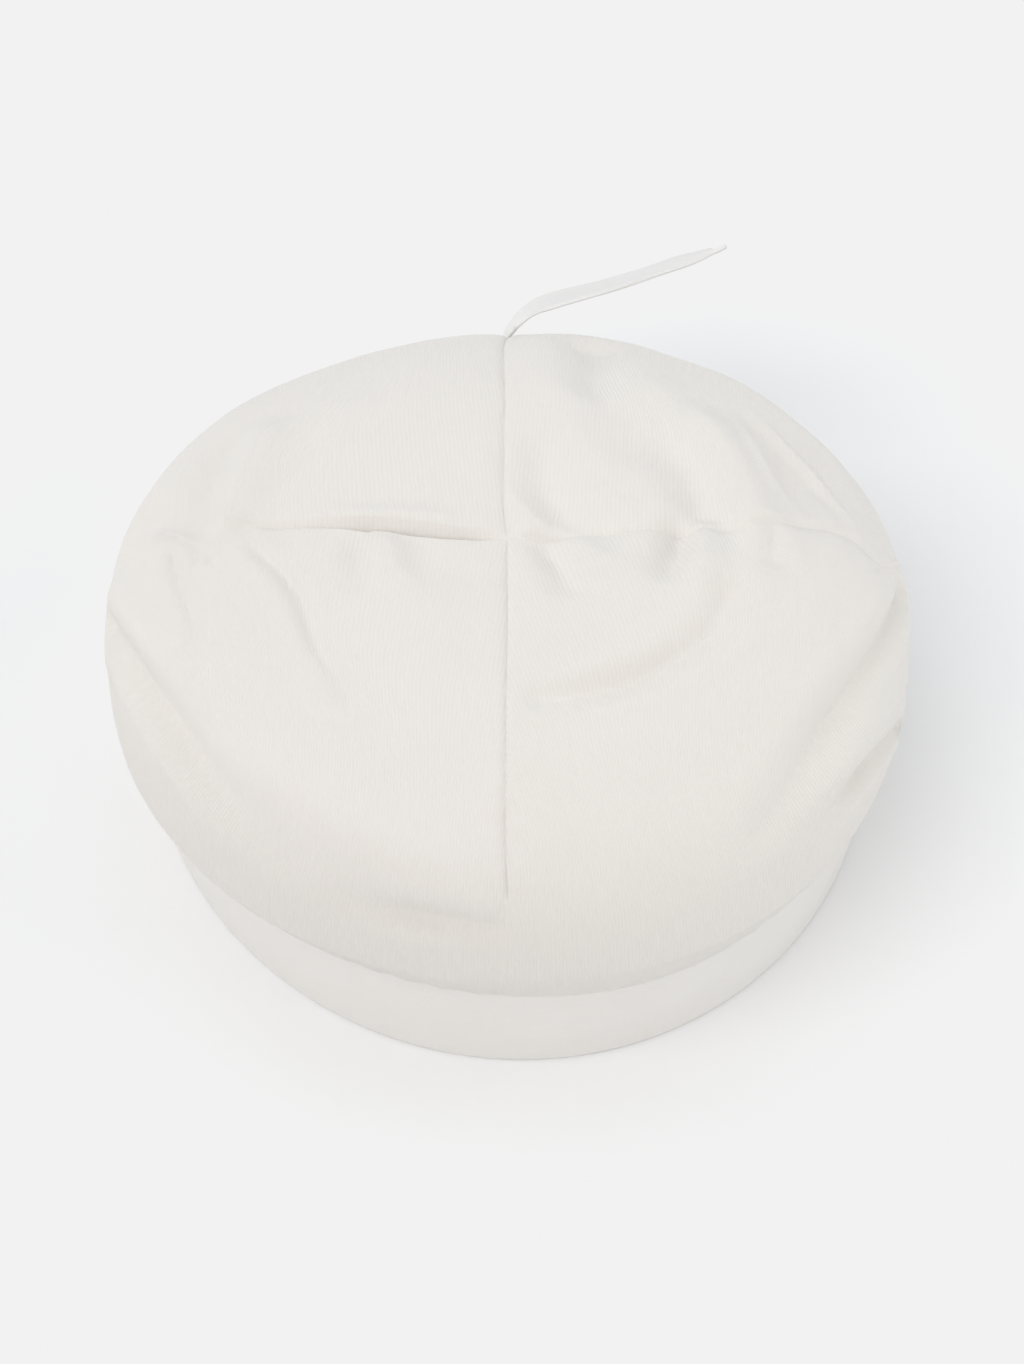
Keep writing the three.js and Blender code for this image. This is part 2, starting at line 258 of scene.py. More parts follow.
# Tucks: the cloth on the left of the run lies with an edge over the cloth on its right. Width is how far each
# of the two takes to lie plain again.
Tuck = namedtuple("Tuck", "name run height width start end")
TUCKS = (
    Tuck("left tip tuck", ((176.5, 54), (177.5, 50.5), (178.5, 47.5), (182, 43.5), (185, 41.5)),
         0.65, (2.4, 2.4), 0.0, 0.7),
    Tuck("left knee edge", ((177, 37), (179, 38.5), (182, 40), (184.5, 41), (187.5, 43.5)),
         0.5, (2.6, 2.0), 0.3, 0.1),
    Tuck("left tip crease", ((205, 49), (199, 46), (194, 46), (189, 46.5), (184, 47)),
         0.55, (2.6, 1.8), 0.3, 0.6),
    Tuck("left pleat edge", ((187, 18.5), (197.5, 19), (209.5, 22)), 0.6, (2.8, 2.8), 0.9, 0.0),
    Tuck("left front crease", ((218, 32.5), (206, 30.8), (195.5, 31.2), (187.5, 33.5), (181, 35.5)),
         0.25, (2.4, 1.6), 0.0, 0.6),
    Tuck("right tip tuck", ((357.5, 53.5), (359.5, 57), (5.5, 69)), 0.54, (2.0, 2.0), 0.6, 0.3),
)
# A tuck reaches some widths to each side, over an edge this wide. The cloth under it is pressed down by a
# share of its height.
TUCK_REACH = 3
TUCK_EDGE = 0.3
PRESSED_SHARE = 0.5

# The jersey's ribs: how far they lean off the front-to-back line in each quarter, from the right back round
# to the right front, and the slope where the lean starts. The radius makes them meet at the sides, and
# between these slopes they turn straight down.
RIB_LEANS = ((-4, 74), (5, 74), (-8, 66), (17, 66))
RIM_RIB_RADIUS = 68.0
RIBS_STRAIGHTEN = (28, 64)

# How each cloth is knitted: from rib to rib and from course to course in millimetres, the unevenness of its
# yarn, its relief, the turn of its ribs and its sheen.
Weave = namedtuple("Weave", "rib course slub relief turn sheen")
CROWN_WEAVE = Weave(0.6, 0.5, 0.35, 0.3, 0.0, 0.15)
BAND_WEAVE = Weave(0.45, 0.4, 0.5, 0.3, math.pi / 2, 0.12)
LABEL_WEAVE = Weave(0.3, 0.24, 0.2, 0.3, 0.0, 0.05)
# Full relief of the ribs, in metres.
RIB_RELIEF = 0.00022
# Scale and detail of the noise that makes ribs waver, yarn thicken and tone change from patch to patch.
WAVER_NOISE = (0.35, 2.0)
WAVER_SHARE = 0.5
SLUB_NOISE = (1.0, 3.0)
SLUB_STRETCH = (1.6, 0.35, 1.0)
MOTTLE_NOISE = (0.06, 4.0)
# The loops' slant, how much they part the ribs, and the share of the slubs in the shade.
LOOP_SLANT = 0.55
LOOP_DEPTH = 0.2
SLUB_SHADE = 0.3
# How far patches of the cloth's own uneven tone and the painted shade between its ribs change the colour, how
# rough the cloth is between its ribs and how much less on them, and the shine of cloth and thread.
MOTTLE_TONE = 0.5
RIB_TONE = 0.6
ROUGH_BETWEEN = 0.96
ROUGH_FALL = -0.12
CLOTH_SHINE = 0.25
SHEEN_ROUGHNESS = 0.45
THREAD_SHINE = 0.5
THREAD_ROUGHNESS = 0.7

# The label's run from the back seam: along +X, off the cloth, and its lean towards the top in degrees. It
# starts clear of the cloth by the sewn gap and its own lift.
LABEL_SLOPE = 71
LABEL_PATH = ((0, 0, 8), (2.8, 4, 17), (7.5, 6.9, 24), (18, 9.8, 22), (26.5, 12.6, 19.3), (33, 15, 20),
              (38.6, 17, 17.5))
SEWN_GAP = 0.3
LABEL_LIFT = 0.5
LABEL_COLUMNS = 25
LABEL_STEPS = 16
# The label's curl across its width, a slight wave, and the folded-in hems at its sides and its free end.
LABEL_CURL = 0.5
LABEL_CURL_MIDDLE = 0.4
LABEL_WAVE = 0.25
LABEL_WAVE_ALONG = 9
LABEL_WAVE_ACROSS = 4
LABEL_HEM = 0.12
LABEL_SIDE_HEM = (0.40, 0.44)
LABEL_END_HEM = (0.93, 0.955)
LABEL_ROUND_FROM = 0.47
LABEL_ROUND_LEAST = 0.05

# The stitches on the darts lie this deep, from a slope near the apex to a way before the tip. The overlock
# stitches stand a little off the inside, and at the band they lie below its top edge.
STITCH_DEPTH = 0.15
STITCH_ENDS = (3, 4)
STITCH_LINE_STEPS = 60
STITCH_LOOSENESS = 0.06
OVERLOCK_ENDS = (4, 6)
OVERLOCK_LIFT = 0.1
OVERLOCK_DROP = 1.8

# The soft lights: the side each comes from, as an azimuth, and its height above the floor, both in degrees.
WARM = (1.03, 1.0, 0.97)
PLAIN = (1.0, 1.0, 1.0)
COOL = (0.97, 1.0, 1.03)
Lamp = namedtuple("Lamp", "name azimuth height strength tint")
LAMPS = (
    Lamp("left_front_light", 225, 46, 1.24, WARM),
    Lamp("right_front_light", 315, 18, 0.59, WARM),
    Lamp("front_top_light", 270, 58, 0.14, WARM),
    Lamp("left_light", 180, 18, 0.29, PLAIN),
    Lamp("right_light", 0, 18, 0.76, PLAIN),
    Lamp("left_back_light", 135, 18, 0.56, COOL),
    Lamp("left_top_light", 135, 58, 0.17, COOL),
    Lamp("right_back_light", 45, 18, 0.39, COOL),
    Lamp("back_light", 90, 58, 0.57, COOL),
)
# The height of the camera's sensor in millimetres, and how near it sees in metres.
SENSOR_HEIGHT = 36
NEAREST_SEEN = 0.01

# Steps of the crown's skins. Columns lie closer at the seams; the inner skin is three times coarser.
COLUMNS_PER_QUARTER = 120
COLUMN_GATHER = 0.45
DOME_ROWS = 148
ROLL_ROWS = 24
INNER_STEP = 3
INNER_DOME_ROWS = 56
INNER_ROLL_ROWS = 12


def smoothstep(low, high, x):
    """Rises softly from 0 at low to 1 at high."""
    t = np.clip((x - low) / (high - low), 0, 1)
    return t * t * (3 - 2 * t)


def bell(x):
    """1 in the middle, falling off to both sides."""
    return np.exp(-np.square(x))


def unit(vectors):
    """Vectors made one long."""
    return vectors / np.linalg.norm(vectors, axis=-1, keepdims=True)


def turn_between(a, b):
    """Signed turn from b to a, in degrees."""
    return (a - b + 540) % 360 - 180


def soft_noise(points, cell, seed):
    """Smooth random field between -1 and 1 over points in millimetres, with lumps about a cell across."""
    size = 32
    lattice = np.random.default_rng(seed).uniform(-1, 1, (size, size, size))
    place = points / cell
    low = np.floor(place).astype(int)
    t = place - low
    t = t * t * (3 - 2 * t)
    total = 0
    for corner in np.ndindex(2, 2, 2):
        weight = np.prod(np.where(corner, t, 1 - t), axis=-1)
        i, j, k = np.moveaxis((low + corner) % size, -1, 0)
        total = total + weight * lattice[i, j, k]
    return total


def placed(points):
    """Points from millimetres round the rim's middle to metres in the shared frame."""
    middle = bpy.context.scene.cap_stage.rim_middle
    return np.asarray(points) * MM + np.array(middle)


# The crown's plain form


def sag_at(azimuth):
    """How far the crown and the band's top edge hang down."""
    return SAG_DEPTH * bell(turn_between(azimuth, SAG_AZIMUTH) / SAG_SPREAD)


def band_plan(azimuth, inset):
    """The band's oval, pushed out a little at the front right and back left."""
    band = bpy.context.scene.cap_band
    phi = np.radians(azimuth)
    c, s = np.cos(phi), np.sin(phi)
    width = band.half_width / MM
    depth = np.where(s < 0, band.front_reach, band.back_reach) / MM
    pull = 1 - BAND_SKEW * np.sin(2 * phi)
    nx, ny = c / width, s / depth
    length = np.hypot(nx, ny)
    return width * c * pull - inset * nx / length, depth * s * pull - inset * ny / length


def crown_base(azimuth, slope):
    """The crown without seams and folds."""
    crown = bpy.context.scene.cap_crown
    azimuth, slope = np.broadcast_arrays(np.asarray(azimuth, float), np.asarray(slope, float))
    phi = np.radians(azimuth)
    c, s = np.cos(phi), np.sin(phi)
    sag = sag_at(azimuth)
    bulge = BULGE_SIDE * c**2 + np.where(s < 0, BULGE_FRONT, BULGE_BACK) * s**2 - SAG_SHARE_AT_BULGE * sag
    wide_x = crown.half_width / MM * c
    wide_y = np.where(s < 0, crown.front_reach, crown.back_reach) / MM * s
    top = crown.top_height / MM

    theta = np.radians(np.clip(slope, 0, 90))
    across, upward = np.sin(theta), np.maximum(np.cos(theta), 0)
    backward = smoothstep(*RIGHT_BLEND, s)
    right = SQUARENESS_RIGHT_FRONT + (SQUARENESS_RIGHT_BACK - SQUARENESS_RIGHT_FRONT) * backward
    n = SQUARENESS_FRONT_BACK + (np.where(c < 0, SQUARENESS_LEFT, right) - SQUARENESS_FRONT_BACK) * c**4
    reach = (across**n + upward**n) ** (-1 / n)
    out = reach * across
    dip = APEX_DIP * bell(out / APEX_DIP_SPREAD)
    dome = np.stack((wide_x * out, wide_y * out, bulge + (top - bulge) * reach * upward - dip), -1)

    end = math.radians(ROLL_TURN)
    roll = np.clip(slope / 90 - 1, 0, 1) * end
    still_out = (np.cos(roll) - math.cos(end)) / (1 - math.cos(end))
    still_up = 1 - np.sin(roll) / math.sin(end)
    seam_x, seam_y = band_plan(azimuth, HEM_INSET)
    seam_z = bpy.context.scene.cap_band.height / MM - HEM_DROP - sag
    rolled = np.stack((
        seam_x + (wide_x - seam_x) * still_out,
        seam_y + (wide_y - seam_y) * still_out,
        seam_z + (bulge - seam_z) * still_up), -1)
    return np.where((slope > 90)[..., None], rolled, dome)


def crown_normal(azimuth, slope):
    """The way off the plain crown's cloth."""
    step = 0.4
    azimuth, slope = np.broadcast_arrays(np.asarray(azimuth, float), np.asarray(slope, float))
    steady = np.maximum(slope, step)
    down = crown_base(azimuth, np.minimum(steady + step, 180)) - crown_base(azimuth, steady - step)
    around = crown_base(azimuth + step, steady) - crown_base(azimuth - step, steady)
    leaning = smoothstep(*APEX_UPRIGHT, slope)[..., None]
    return unit(unit(np.cross(down, around)) * leaning + np.array((0, 0, 1)) * (1 - leaning))


# Seams and folds on the crown


def laid_flat(azimuth, slope):
    """The cloth laid flat round the apex: one degree of slope is about a millimetre of cloth."""
    phi = np.radians(azimuth)
    return np.stack((slope * np.cos(phi), slope * np.sin(phi)), -1)


def smooth_run(points, steps=10):
    """A Catmull-Rom line through the points."""
    points = np.asarray(points, float)
    padded = np.vstack((2 * points[0] - points[1], points, 2 * points[-1] - points[-2]))
    t = np.linspace(0, 1, steps, endpoint=False)[:, None]
    line = []
    for a, b, c, d in zip(padded, padded[1:], padded[2:], padded[3:]):
        bow = (2 * a - 5 * b + 4 * c - d) * t**2
        sway = (3 * b - a - 3 * c + d) * t**3
        line.append(0.5 * (2 * b + (c - a) * t + bow + sway))
    return np.vstack(line + [points[-1:]])


def flat_run(run):
    """A run of azimuths and slopes as a smooth line on the cloth laid flat."""
    azimuths, slopes = np.array(run, float).T
    return smooth_run(laid_flat(azimuths, slopes))


def run_field(spots, line):
    """Distance of spots from a line on the flat cloth, share of the run there, and side: 1 on its left."""
    away = np.full(len(spots), np.inf)
    share = np.zeros(len(spots))
    side = np.ones(len(spots))
    parts = np.diff(line, axis=0)
    lengths = np.linalg.norm(parts, axis=1)
    starts = np.concatenate(((0,), np.cumsum(lengths)))
    for start, part, length, before in zip(line, parts, lengths, starts):
        offset = spots - start
        along = np.clip(offset @ part / length**2, 0, 1)
        gap = offset - along[:, None] * part
        distance = np.hypot(gap[:, 0], gap[:, 1])
        closer = distance < away
        away[closer] = distance[closer]
        share[closer] = ((before + along * length) / starts[-1])[closer]
        leftward = part[0] * offset[:, 1] - part[1] * offset[:, 0]
        side[closer] = np.where(leftward >= 0, 1.0, -1.0)[closer]
    return away, share, side


def near_line(spots, line, reach):
    """Which spots lie in the line's box, grown by the reach."""
    low, high = line.min(0) - reach, line.max(0) + reach
    return np.flatnonzero(np.all((spots > low) & (spots < high), axis=1))


def dart_relief(spots, fine):
    """Seams sunk between rounded panel edges, with a dimple at each dart's tip and small puckers along it."""
    crown = bpy.context.scene.cap_crown
    lift = np.zeros(len(spots))
    for dart in DARTS:
        line = flat_run(dart.run)
        near = near_line(spots, line, DART_REACH)
        away, share, side = run_field(spots[near], line)
        run_length = np.linalg.norm(np.diff(line, axis=0), axis=1).sum()
        done = share * run_length
        hold = smoothstep(0, dart.fade, run_length - done) * smoothstep(*DART_START, done)
        bend = -SHOULDER_DEPTH * bell(away / SHOULDER_WIDTH) * hold
        bend += np.where(side > 0, *dart.lip) * bell((away - LIP_DISTANCE) / LIP_WIDTH) * hold
        opened = dart.gape * smoothstep(*GAPE_OPENS, share) * (1 - smoothstep(*GAPE_CLOSES, share))
        slanted = np.clip(1 - away / GAPE_WIDTH, 0, 1) ** GAPE_SLANT
        bend -= opened * np.where(side > 0, bell(away / GAPE_EDGE), slanted)
        if fine:
            bend -= crown.seam_depth * dart.depth * np.exp(-((away / dart.width) ** GROOVE_CREST)) * hold
            drift = PUCKER_DRIFT * np.sin(share * PUCKER_DRIFTS)
            pucker = np.sin(done * 2 * np.pi / PUCKER_LENGTH + side + drift)
            bend -= PUCKER_HEIGHT * pucker * bell((away - PUCKER_DISTANCE) / PUCKER_WIDTH) * hold
        lift[near] += bend
        tip = laid_flat(*np.array(dart.run[-1], float))
        lift -= dart.tip_dimple * bell(np.linalg.norm(spots - tip, axis=1) / dart.tip_radius)
    return lift


def end_strength(fold, share):
    """Strength of a fold along its run, from its start to its end."""
    rising = fold.start + (1 - fold.start) * smoothstep(0, FULL_STRENGTH, share)
    return rising * (fold.end + (1 - fold.end) * smoothstep(0, FULL_STRENGTH, 1 - share))


def fold_relief(spots):
    """Broad soft folds, each with a little cloth drawn up beside it."""
    lift = np.zeros(len(spots))
    for fold in FOLDS:
        line = flat_run(fold.run)
        near = near_line(spots, line, FOLD_REACH * max(fold.width))
        away, share, _ = run_field(spots[near], line)
        across = away / (fold.width[0] + (fold.width[1] - fold.width[0]) * share)
        flank = FLANK_SHARE * bell((across - FLANK_DISTANCE) / FLANK_WIDTH)
        lift[near] += fold.lift * end_strength(fold, share) * (np.exp(-(across**fold.crest)) - flank)
    return lift


def tuck_relief(spots):
    """Edges of cloth that lies over other cloth: raised on one side and pressed down on the other."""
    lift = np.zeros(len(spots))
    for tuck in TUCKS:
        line = flat_run(tuck.run)
        near = near_line(spots, line, TUCK_REACH * max(tuck.width))
        away, share, side = run_field(spots[near], line)
        over, under = tuck.width
        plain = np.where(side > 0, bell(away / over), PRESSED_SHARE * bell(away / under))
        lift[near] += tuck.height * end_strength(tuck, share) * plain * np.tanh(side * away / TUCK_EDGE)
    return lift


def crown_relief(azimuth, slope, base, fine):
    """How far the cloth stands off the plain crown, in millimetres."""
    crown = bpy.context.scene.cap_crown
    shape = azimuth.shape
    azimuth, slope, base = azimuth.ravel(), slope.ravel(), base.reshape(-1, 3)
    spots = laid_flat(azimuth, slope)
    phi = np.radians(azimuth)
    puff = np.sin(2 * phi) ** 2 * np.sin(np.pi * np.minimum(slope, PUFF_END) / PUFF_END)
    lift = crown.panel_puff / MM * puff + dart_relief(spots, fine)
    lift += crown.fold_strength * (fold_relief(spots) + tuck_relief(spots))
    lift *= 1 - smoothstep(*FOLDS_FADE, slope)
    if fine:
        loose = crown.unevenness / MM * (1 - LUMPS_LOST * smoothstep(*LUMPS_FADE, slope))
        lift += loose * sum(share * soft_noise(base, cell, seed) for cell, seed, share in CROWN_LUMPS)
        hem = smoothstep(*HEM_RISE, slope) * (1 - smoothstep(*HEM_FALL, slope))
        lift += HEM_WAVE * hem * np.sin(phi * HEM_WAVES + HEM_DRIFT * np.sin(phi * HEM_DRIFTS))
    return lift.reshape(shape)


def crown_skin(azimuth, slope, depth, fine=True):
    """Places on the crown's cloth, some depth under its outer side. A fine skin has grooves and lumps."""
    base = crown_base(azimuth, slope)
    lift = crown_relief(azimuth, slope, base, fine) - depth
    return base + crown_normal(azimuth, slope) * lift[..., None]


def seam_azimuth(dart, slope):
    """Azimuth of a dart's seam at a slope."""
    azimuths, slopes = np.array(dart.run, float).T
    return np.interp(slope, slopes, azimuths)


def column_azimuths(columns, slopes):
    """Azimuth of every column at each slope: crowded at the darts and bent to follow them."""
    part = np.arange(columns) / columns * 4
    whole = np.floor(part)
    rest = part - whole
    even = (whole + rest - COLUMN_GATHER * np.sin(2 * np.pi * rest) / (2 * np.pi)) * 90
    bent = np.repeat(even[None, :], len(slopes), axis=0)
    for dart in DARTS:
        tip_azimuth, tip_slope = dart.run[-1]
        nominal = round(tip_azimuth / 90) * 90
        aside = turn_between(even, nominal)
        share = np.where(np.abs(aside) < 45, np.cos(np.radians(2 * aside)) ** 2, 0)
        drift = seam_azimuth(dart, slopes) - nominal
        drift = drift * (1 - smoothstep(tip_slope, 90, slopes))
        bent += drift[:, None] * share[None, :]
    return bent


def row_slopes(dome_rows, roll_rows):
    """Slopes of the rows over the dome and round the rolled edge, without the apex."""
    dome = np.linspace(0, 90, dome_rows + 1)[1:]
    roll = np.linspace(90, 180, roll_rows + 1)[1:]
    return np.concatenate((dome, roll))


# Meshes


def mesh_object(name, vertices, faces, material, cloth=None):
    """A smooth mesh from places in the shared frame. Cloth is the UV of each face corner, in millimetres."""
    mesh = bpy.data.meshes.new(name)
    mesh.from_pydata([tuple(v) for v in vertices], [], [tuple(f) for f in faces])
    mesh.materials.append(material)
    mesh.polygons.foreach_set("use_smooth", np.ones(len(mesh.polygons), bool))
    if cloth is not None:
        layer = mesh.uv_layers.new(name="cloth")
        layer.data.foreach_set("uv", np.asarray(cloth, np.float32).ravel())
    mesh.update()
    return scene_object(name, mesh)


def scene_object(name, data):
    """A new object in the scene, at the origin."""
    made = bpy.data.objects.new(name, data)
    bpy.context.scene.collection.objects.link(made)
    return made


def ring_quads(rows, columns, first):
    """Quads between rings of vertices, facing out when rings go down and columns go round to the left."""
    row, column = np.meshgrid(np.arange(rows - 1), np.arange(columns), indexing="ij")
    after = (column + 1) % columns
    top, low = first + row * columns, first + (row + 1) * columns
    return np.stack((top + column, low + column, low + after, top + after), -1).reshape(-1, 4)


def quad_cloth(left, right):
    """Cloth coordinates of ring quads, from those of each column's left and right edge."""
    return np.stack((left[:-1], left[1:], right[1:], right[:-1]), 2)


def knit_lay(azimuth, slope, quarter):
    """Cloth coordinates on the crown: ribs run from front to back over the top, and down at the rim."""
    lean, tip = RIB_LEANS[quarter]
    fore = FRONT if quarter >= 2 else BACK
    heading = np.radians(fore + lean)
    spots = laid_flat(azimuth, slope)
    from_tip = spots - laid_flat(np.array(float(fore)), np.array(float(tip)))
    top_across = from_tip[..., 1] * math.cos(heading) - from_tip[..., 0] * math.sin(heading)
    top_along = spots[..., 0] * math.cos(heading) + spots[..., 1] * math.sin(heading)
    rim_across = np.radians(turn_between(azimuth, fore)) * RIM_RIB_RADIUS
    low = smoothstep(*RIBS_STRAIGHTEN, slope)
    return np.stack((top_across * (1 - low) + rim_across * low, top_along * (1 - low) + slope * low), -1)


def ring_cloth(azimuth, slope, columns):
    """Cloth coordinates of each ring column's left and right edge, so that they may break at the darts."""
    left = np.zeros((*azimuth.shape, 2))
    right = np.zeros((*azimuth.shape, 2))
    following = np.roll(azimuth, -1, axis=1)
    for quarter in range(4):
        own = slice(quarter * columns // 4, (quarter + 1) * columns // 4)
        left[:, own] = knit_lay(azimuth[:, own], slope[:, own], quarter)
        right[:, own] = knit_lay(following[:, own], slope[:, own], quarter)
    return left, right


def gather_and_shade_at(azimuth, slope):
    """How far the jersey is drawn in, from 0 to 1, which also sets how much painted shade darkens it there.
    """
    near = bell(turn_between(azimuth, GATHER_AND_SHADE_AZIMUTH) / GATHER_AND_SHADE_SPREAD)
    return (GATHER_AND_SHADE_LEAST + (1 - GATHER_AND_SHADE_LEAST) * near) * smoothstep(*GATHER_AND_SHADE_SLOPES, slope)


def hem_faces(outer_edge, columns, inner_edge, inner_columns):
    """Triangles that join the outer skin's last ring to the inner skin's coarser one."""
    faces = []
    for k in range(inner_columns):
        o = [outer_edge + (INNER_STEP * k + i) % columns for i in range(INNER_STEP + 1)]
        a, b = inner_edge + k, inner_edge + (k + 1) % inner_columns
        faces += [(o[1], o[0], a), (o[2], o[1], a), (o[2], a, b), (o[3], o[2], b)]
    return faces


def crown_mesh(material):
    """The crown as one closed shell: a fine outer skin, a coarser inner one and the strip that joins them."""
    wall = bpy.context.scene.cap_crown.wall / MM
    columns = 4 * COLUMNS_PER_QUARTER
    slopes = row_slopes(DOME_ROWS, ROLL_ROWS)
    azimuth = column_azimuths(columns, slopes)
    slope = np.repeat(slopes[:, None], columns, axis=1)
    outer = crown_skin(azimuth, slope, 0)
    apex = outer[0].mean(0)

    inner_columns = columns // INNER_STEP
    inner_slopes = row_slopes(INNER_DOME_ROWS, INNER_ROLL_ROWS)
    inner_azimuth = column_azimuths(columns, inner_slopes)[:, ::INNER_STEP]
    inner_slope = np.repeat(inner_slopes[:, None], inner_columns, axis=1)
    inner = crown_skin(inner_azimuth, inner_slope, wall, fine=False)
    inner_apex = inner[0].mean(0)

    rows, inner_rows = len(slopes), len(inner_slopes)
    vertices = np.vstack((apex[None], outer.reshape(-1, 3), inner_apex[None], inner.reshape(-1, 3)))
    inner_first = 2 + rows * columns
    fan = [(0, 1 + j, 1 + (j + 1) % columns) for j in range(columns)]
    quads = ring_quads(rows, columns, 1)
    inner_fan = [(inner_first - 1, inner_first + (j + 1) % inner_columns, inner_first + j)
                 for j in range(inner_columns)]
    inner_quads = ring_quads(inner_rows, inner_columns, inner_first)[:, ::-1]
    outer_edge = 1 + (rows - 1) * columns
    inner_edge = inner_first + (inner_rows - 1) * inner_columns
    hem = hem_faces(outer_edge, columns, inner_edge, inner_columns)
    faces = fan + quads.tolist() + inner_fan + inner_quads.tolist() + hem

    left, right = ring_cloth(azimuth, slope, columns)
    inner_left, inner_right = ring_cloth(inner_azimuth, inner_slope, inner_columns)
    cloth = (
        np.stack(((left[0] + right[0]) / 2, left[0], right[0]), 1),
        quad_cloth(left, right),
        np.stack(((inner_left[0] + inner_right[0]) / 2, inner_right[0], inner_left[0]), 1),
        quad_cloth(inner_left, inner_right)[:, :, ::-1],
        np.zeros((len(hem) * 3, 2)),
    )
    made = mesh_object("crown_cloth", placed(vertices), faces, material,
                       np.vstack([part.reshape(-1, 2) for part in cloth]))
    drawn_in_and_shaded = (np.zeros(1), gather_and_shade_at(azimuth, slope), np.zeros(1), gather_and_shade_at(inner_azimuth, inner_slope))
    # This attribute sets where the ribs stand higher and where the cloth is painted darker as painted shade.
    gathered_and_shaded = made.data.attributes.new("gathered_and_shaded", "FLOAT", "POINT")
    gathered_and_shaded.data.foreach_set("value", np.concatenate([part.ravel() for part in drawn_in_and_shaded]).astype(np.float32))
    return made


def band_section():
    """The folded band in section, from the top of its outer layer down round the rim and back up inside.

    Each spot has its inset from the oval, its share of the band's height and its rise above that."""
    band = bpy.context.scene.cap_band
    thick, layer = band.thickness / MM, band.layer / MM
    hidden_out, hidden_in = layer, thick - layer
    fold_radius = thick / 2
    hidden_radius = (hidden_in - hidden_out) / 2
    shoulder = layer * EDGE_SHOULDER_INSET
    rises = np.linspace(0, 1, BAND_ROWS)
    hidden_rises = rises[::HIDDEN_ROW_STEP]
    section = [(layer / 2, 1.0, 0.0), (shoulder, 1.0, -EDGE_SHOULDER_DROP)]
    section += [(0.0, 1 - r, -EDGE_DROP * (1 - r) + fold_radius * r) for r in rises]
    for a in np.radians(np.linspace(*RIM_ARC)):
        inward = math.copysign(abs(math.cos(a)) ** RIM_SQUARENESS, math.cos(a))
        section.append((fold_radius * (1 - inward), 0, fold_radius * (1 - math.sin(a) ** RIM_SQUARENESS)))
    section += [(thick, r, fold_radius * (1 - r) - EDGE_DROP * r) for r in rises]
    section += [(thick - shoulder, 1.0, -EDGE_SHOULDER_DROP), (thick - layer / 2, 1.0, 0.0)]
    section += [(hidden_in, 1 - r, -HIDDEN_DROP * (1 - r) + fold_radius * r) for r in hidden_rises]
    section += [(fold_radius + hidden_radius * math.cos(a), 0, fold_radius - hidden_radius * math.sin(a))
                for a in np.radians(np.linspace(*HIDDEN_ARC))]
    section += [(hidden_out, r, fold_radius * (1 - r) - HIDDEN_DROP * r) for r in hidden_rises]
    return np.array(section)


def lengths_along(line):
    """Length of a line of places from its start to each of them."""
    return np.concatenate((np.zeros(1), np.cumsum(np.linalg.norm(np.diff(line, axis=0), axis=-1))))


def band_mesh(material):
    """The band as one strip of jersey folded at the rim, two layers with a thin gap between them."""
    band = bpy.context.scene.cap_band
    section = band_section()
    step = np.arange(BAND_COLUMNS) * 2 * np.pi / BAND_COLUMNS
    azimuth = BACK + np.degrees(step - BAND_GATHER * np.sin(step))
    inset, share, rise = (section[:, i][:, None] for i in range(3))
    turn = azimuth[None, :]
    height = band.height / MM - sag_at(turn)
    up = height * share + rise
    bow = np.sin(np.pi * np.clip(up / height, 0, 1))
    plain_x, plain_y = band_plan(turn, 0)
    spots = np.stack(np.broadcast_arrays(plain_x, plain_y, up), -1)
    ease = bow**BAND_EASE
    loose = band.unevenness / MM * sum(
        part * soft_noise(spots * (1, 1, closer), cell, seed) for cell, seed, part, closer in BAND_LUMPS)
    from_join = np.radians(turn_between(turn, BACK)) * band.back_reach / MM
    join = band.join_depth / MM * np.exp(-np.abs(from_join) / JOIN_WIDTH)
    x, y = band_plan(turn, inset - band.belly / MM * bow + (join - loose) * ease)
    skin = np.stack(np.broadcast_arrays(x, y, up), -1)

    rows = len(section)
    quads = ring_quads(rows + 1, BAND_COLUMNS, 0) % (rows * BAND_COLUMNS)
    rim = skin[1 + BAND_ROWS]
    around = lengths_along(np.concatenate((rim, rim[:1])))
    down = lengths_along(np.concatenate((skin[:, 0], skin[:1, 0])))
    grid = np.stack(np.meshgrid(around, down), -1)
    cloth = quad_cloth(grid[:, :-1], grid[:, 1:])
    return mesh_object("band_cloth", placed(skin.reshape(-1, 3)), quads.tolist(), material, cloth)


def turned(vectors, axes, degrees):
    """Vectors turned about unit axes, row by row."""
    angle = np.radians(degrees)[:, None]
    along = (vectors * axes).sum(-1, keepdims=True) * axes
    return along + (vectors - along) * np.cos(angle) + np.cross(axes, vectors) * np.sin(angle)


def label_run():
    """The label's middle line from the back seam, and the ways across the tape and off its face there."""
    azimuth = np.array([float(BACK)])
    slope = np.array([float(LABEL_SLOPE)])
    off = crown_normal(azimuth, slope)[0]
    root = crown_skin(azimuth, slope, -SEWN_GAP, fine=False)[0]
    reach = 5
    seam_run = unit(crown_base(azimuth, slope + reach)[0] - crown_base(azimuth, slope - reach)[0])
    path = smooth_run(LABEL_PATH, LABEL_STEPS)
    ahead = unit(np.gradient(path[:, :2], axis=0))
    right = np.array((1.0, 0, 0))
    along = ahead[:, :1] * right + ahead[:, 1:] * off
    face = ahead[:, :1] * off - ahead[:, 1:] * right
    across = turned(np.repeat(seam_run[None], len(path), 0), along, path[:, 2])
    middle = root + path[:, :1] * right + (path[:, 1:2] + LABEL_LIFT) * off
    return middle, across, turned(face, along, path[:, 2])


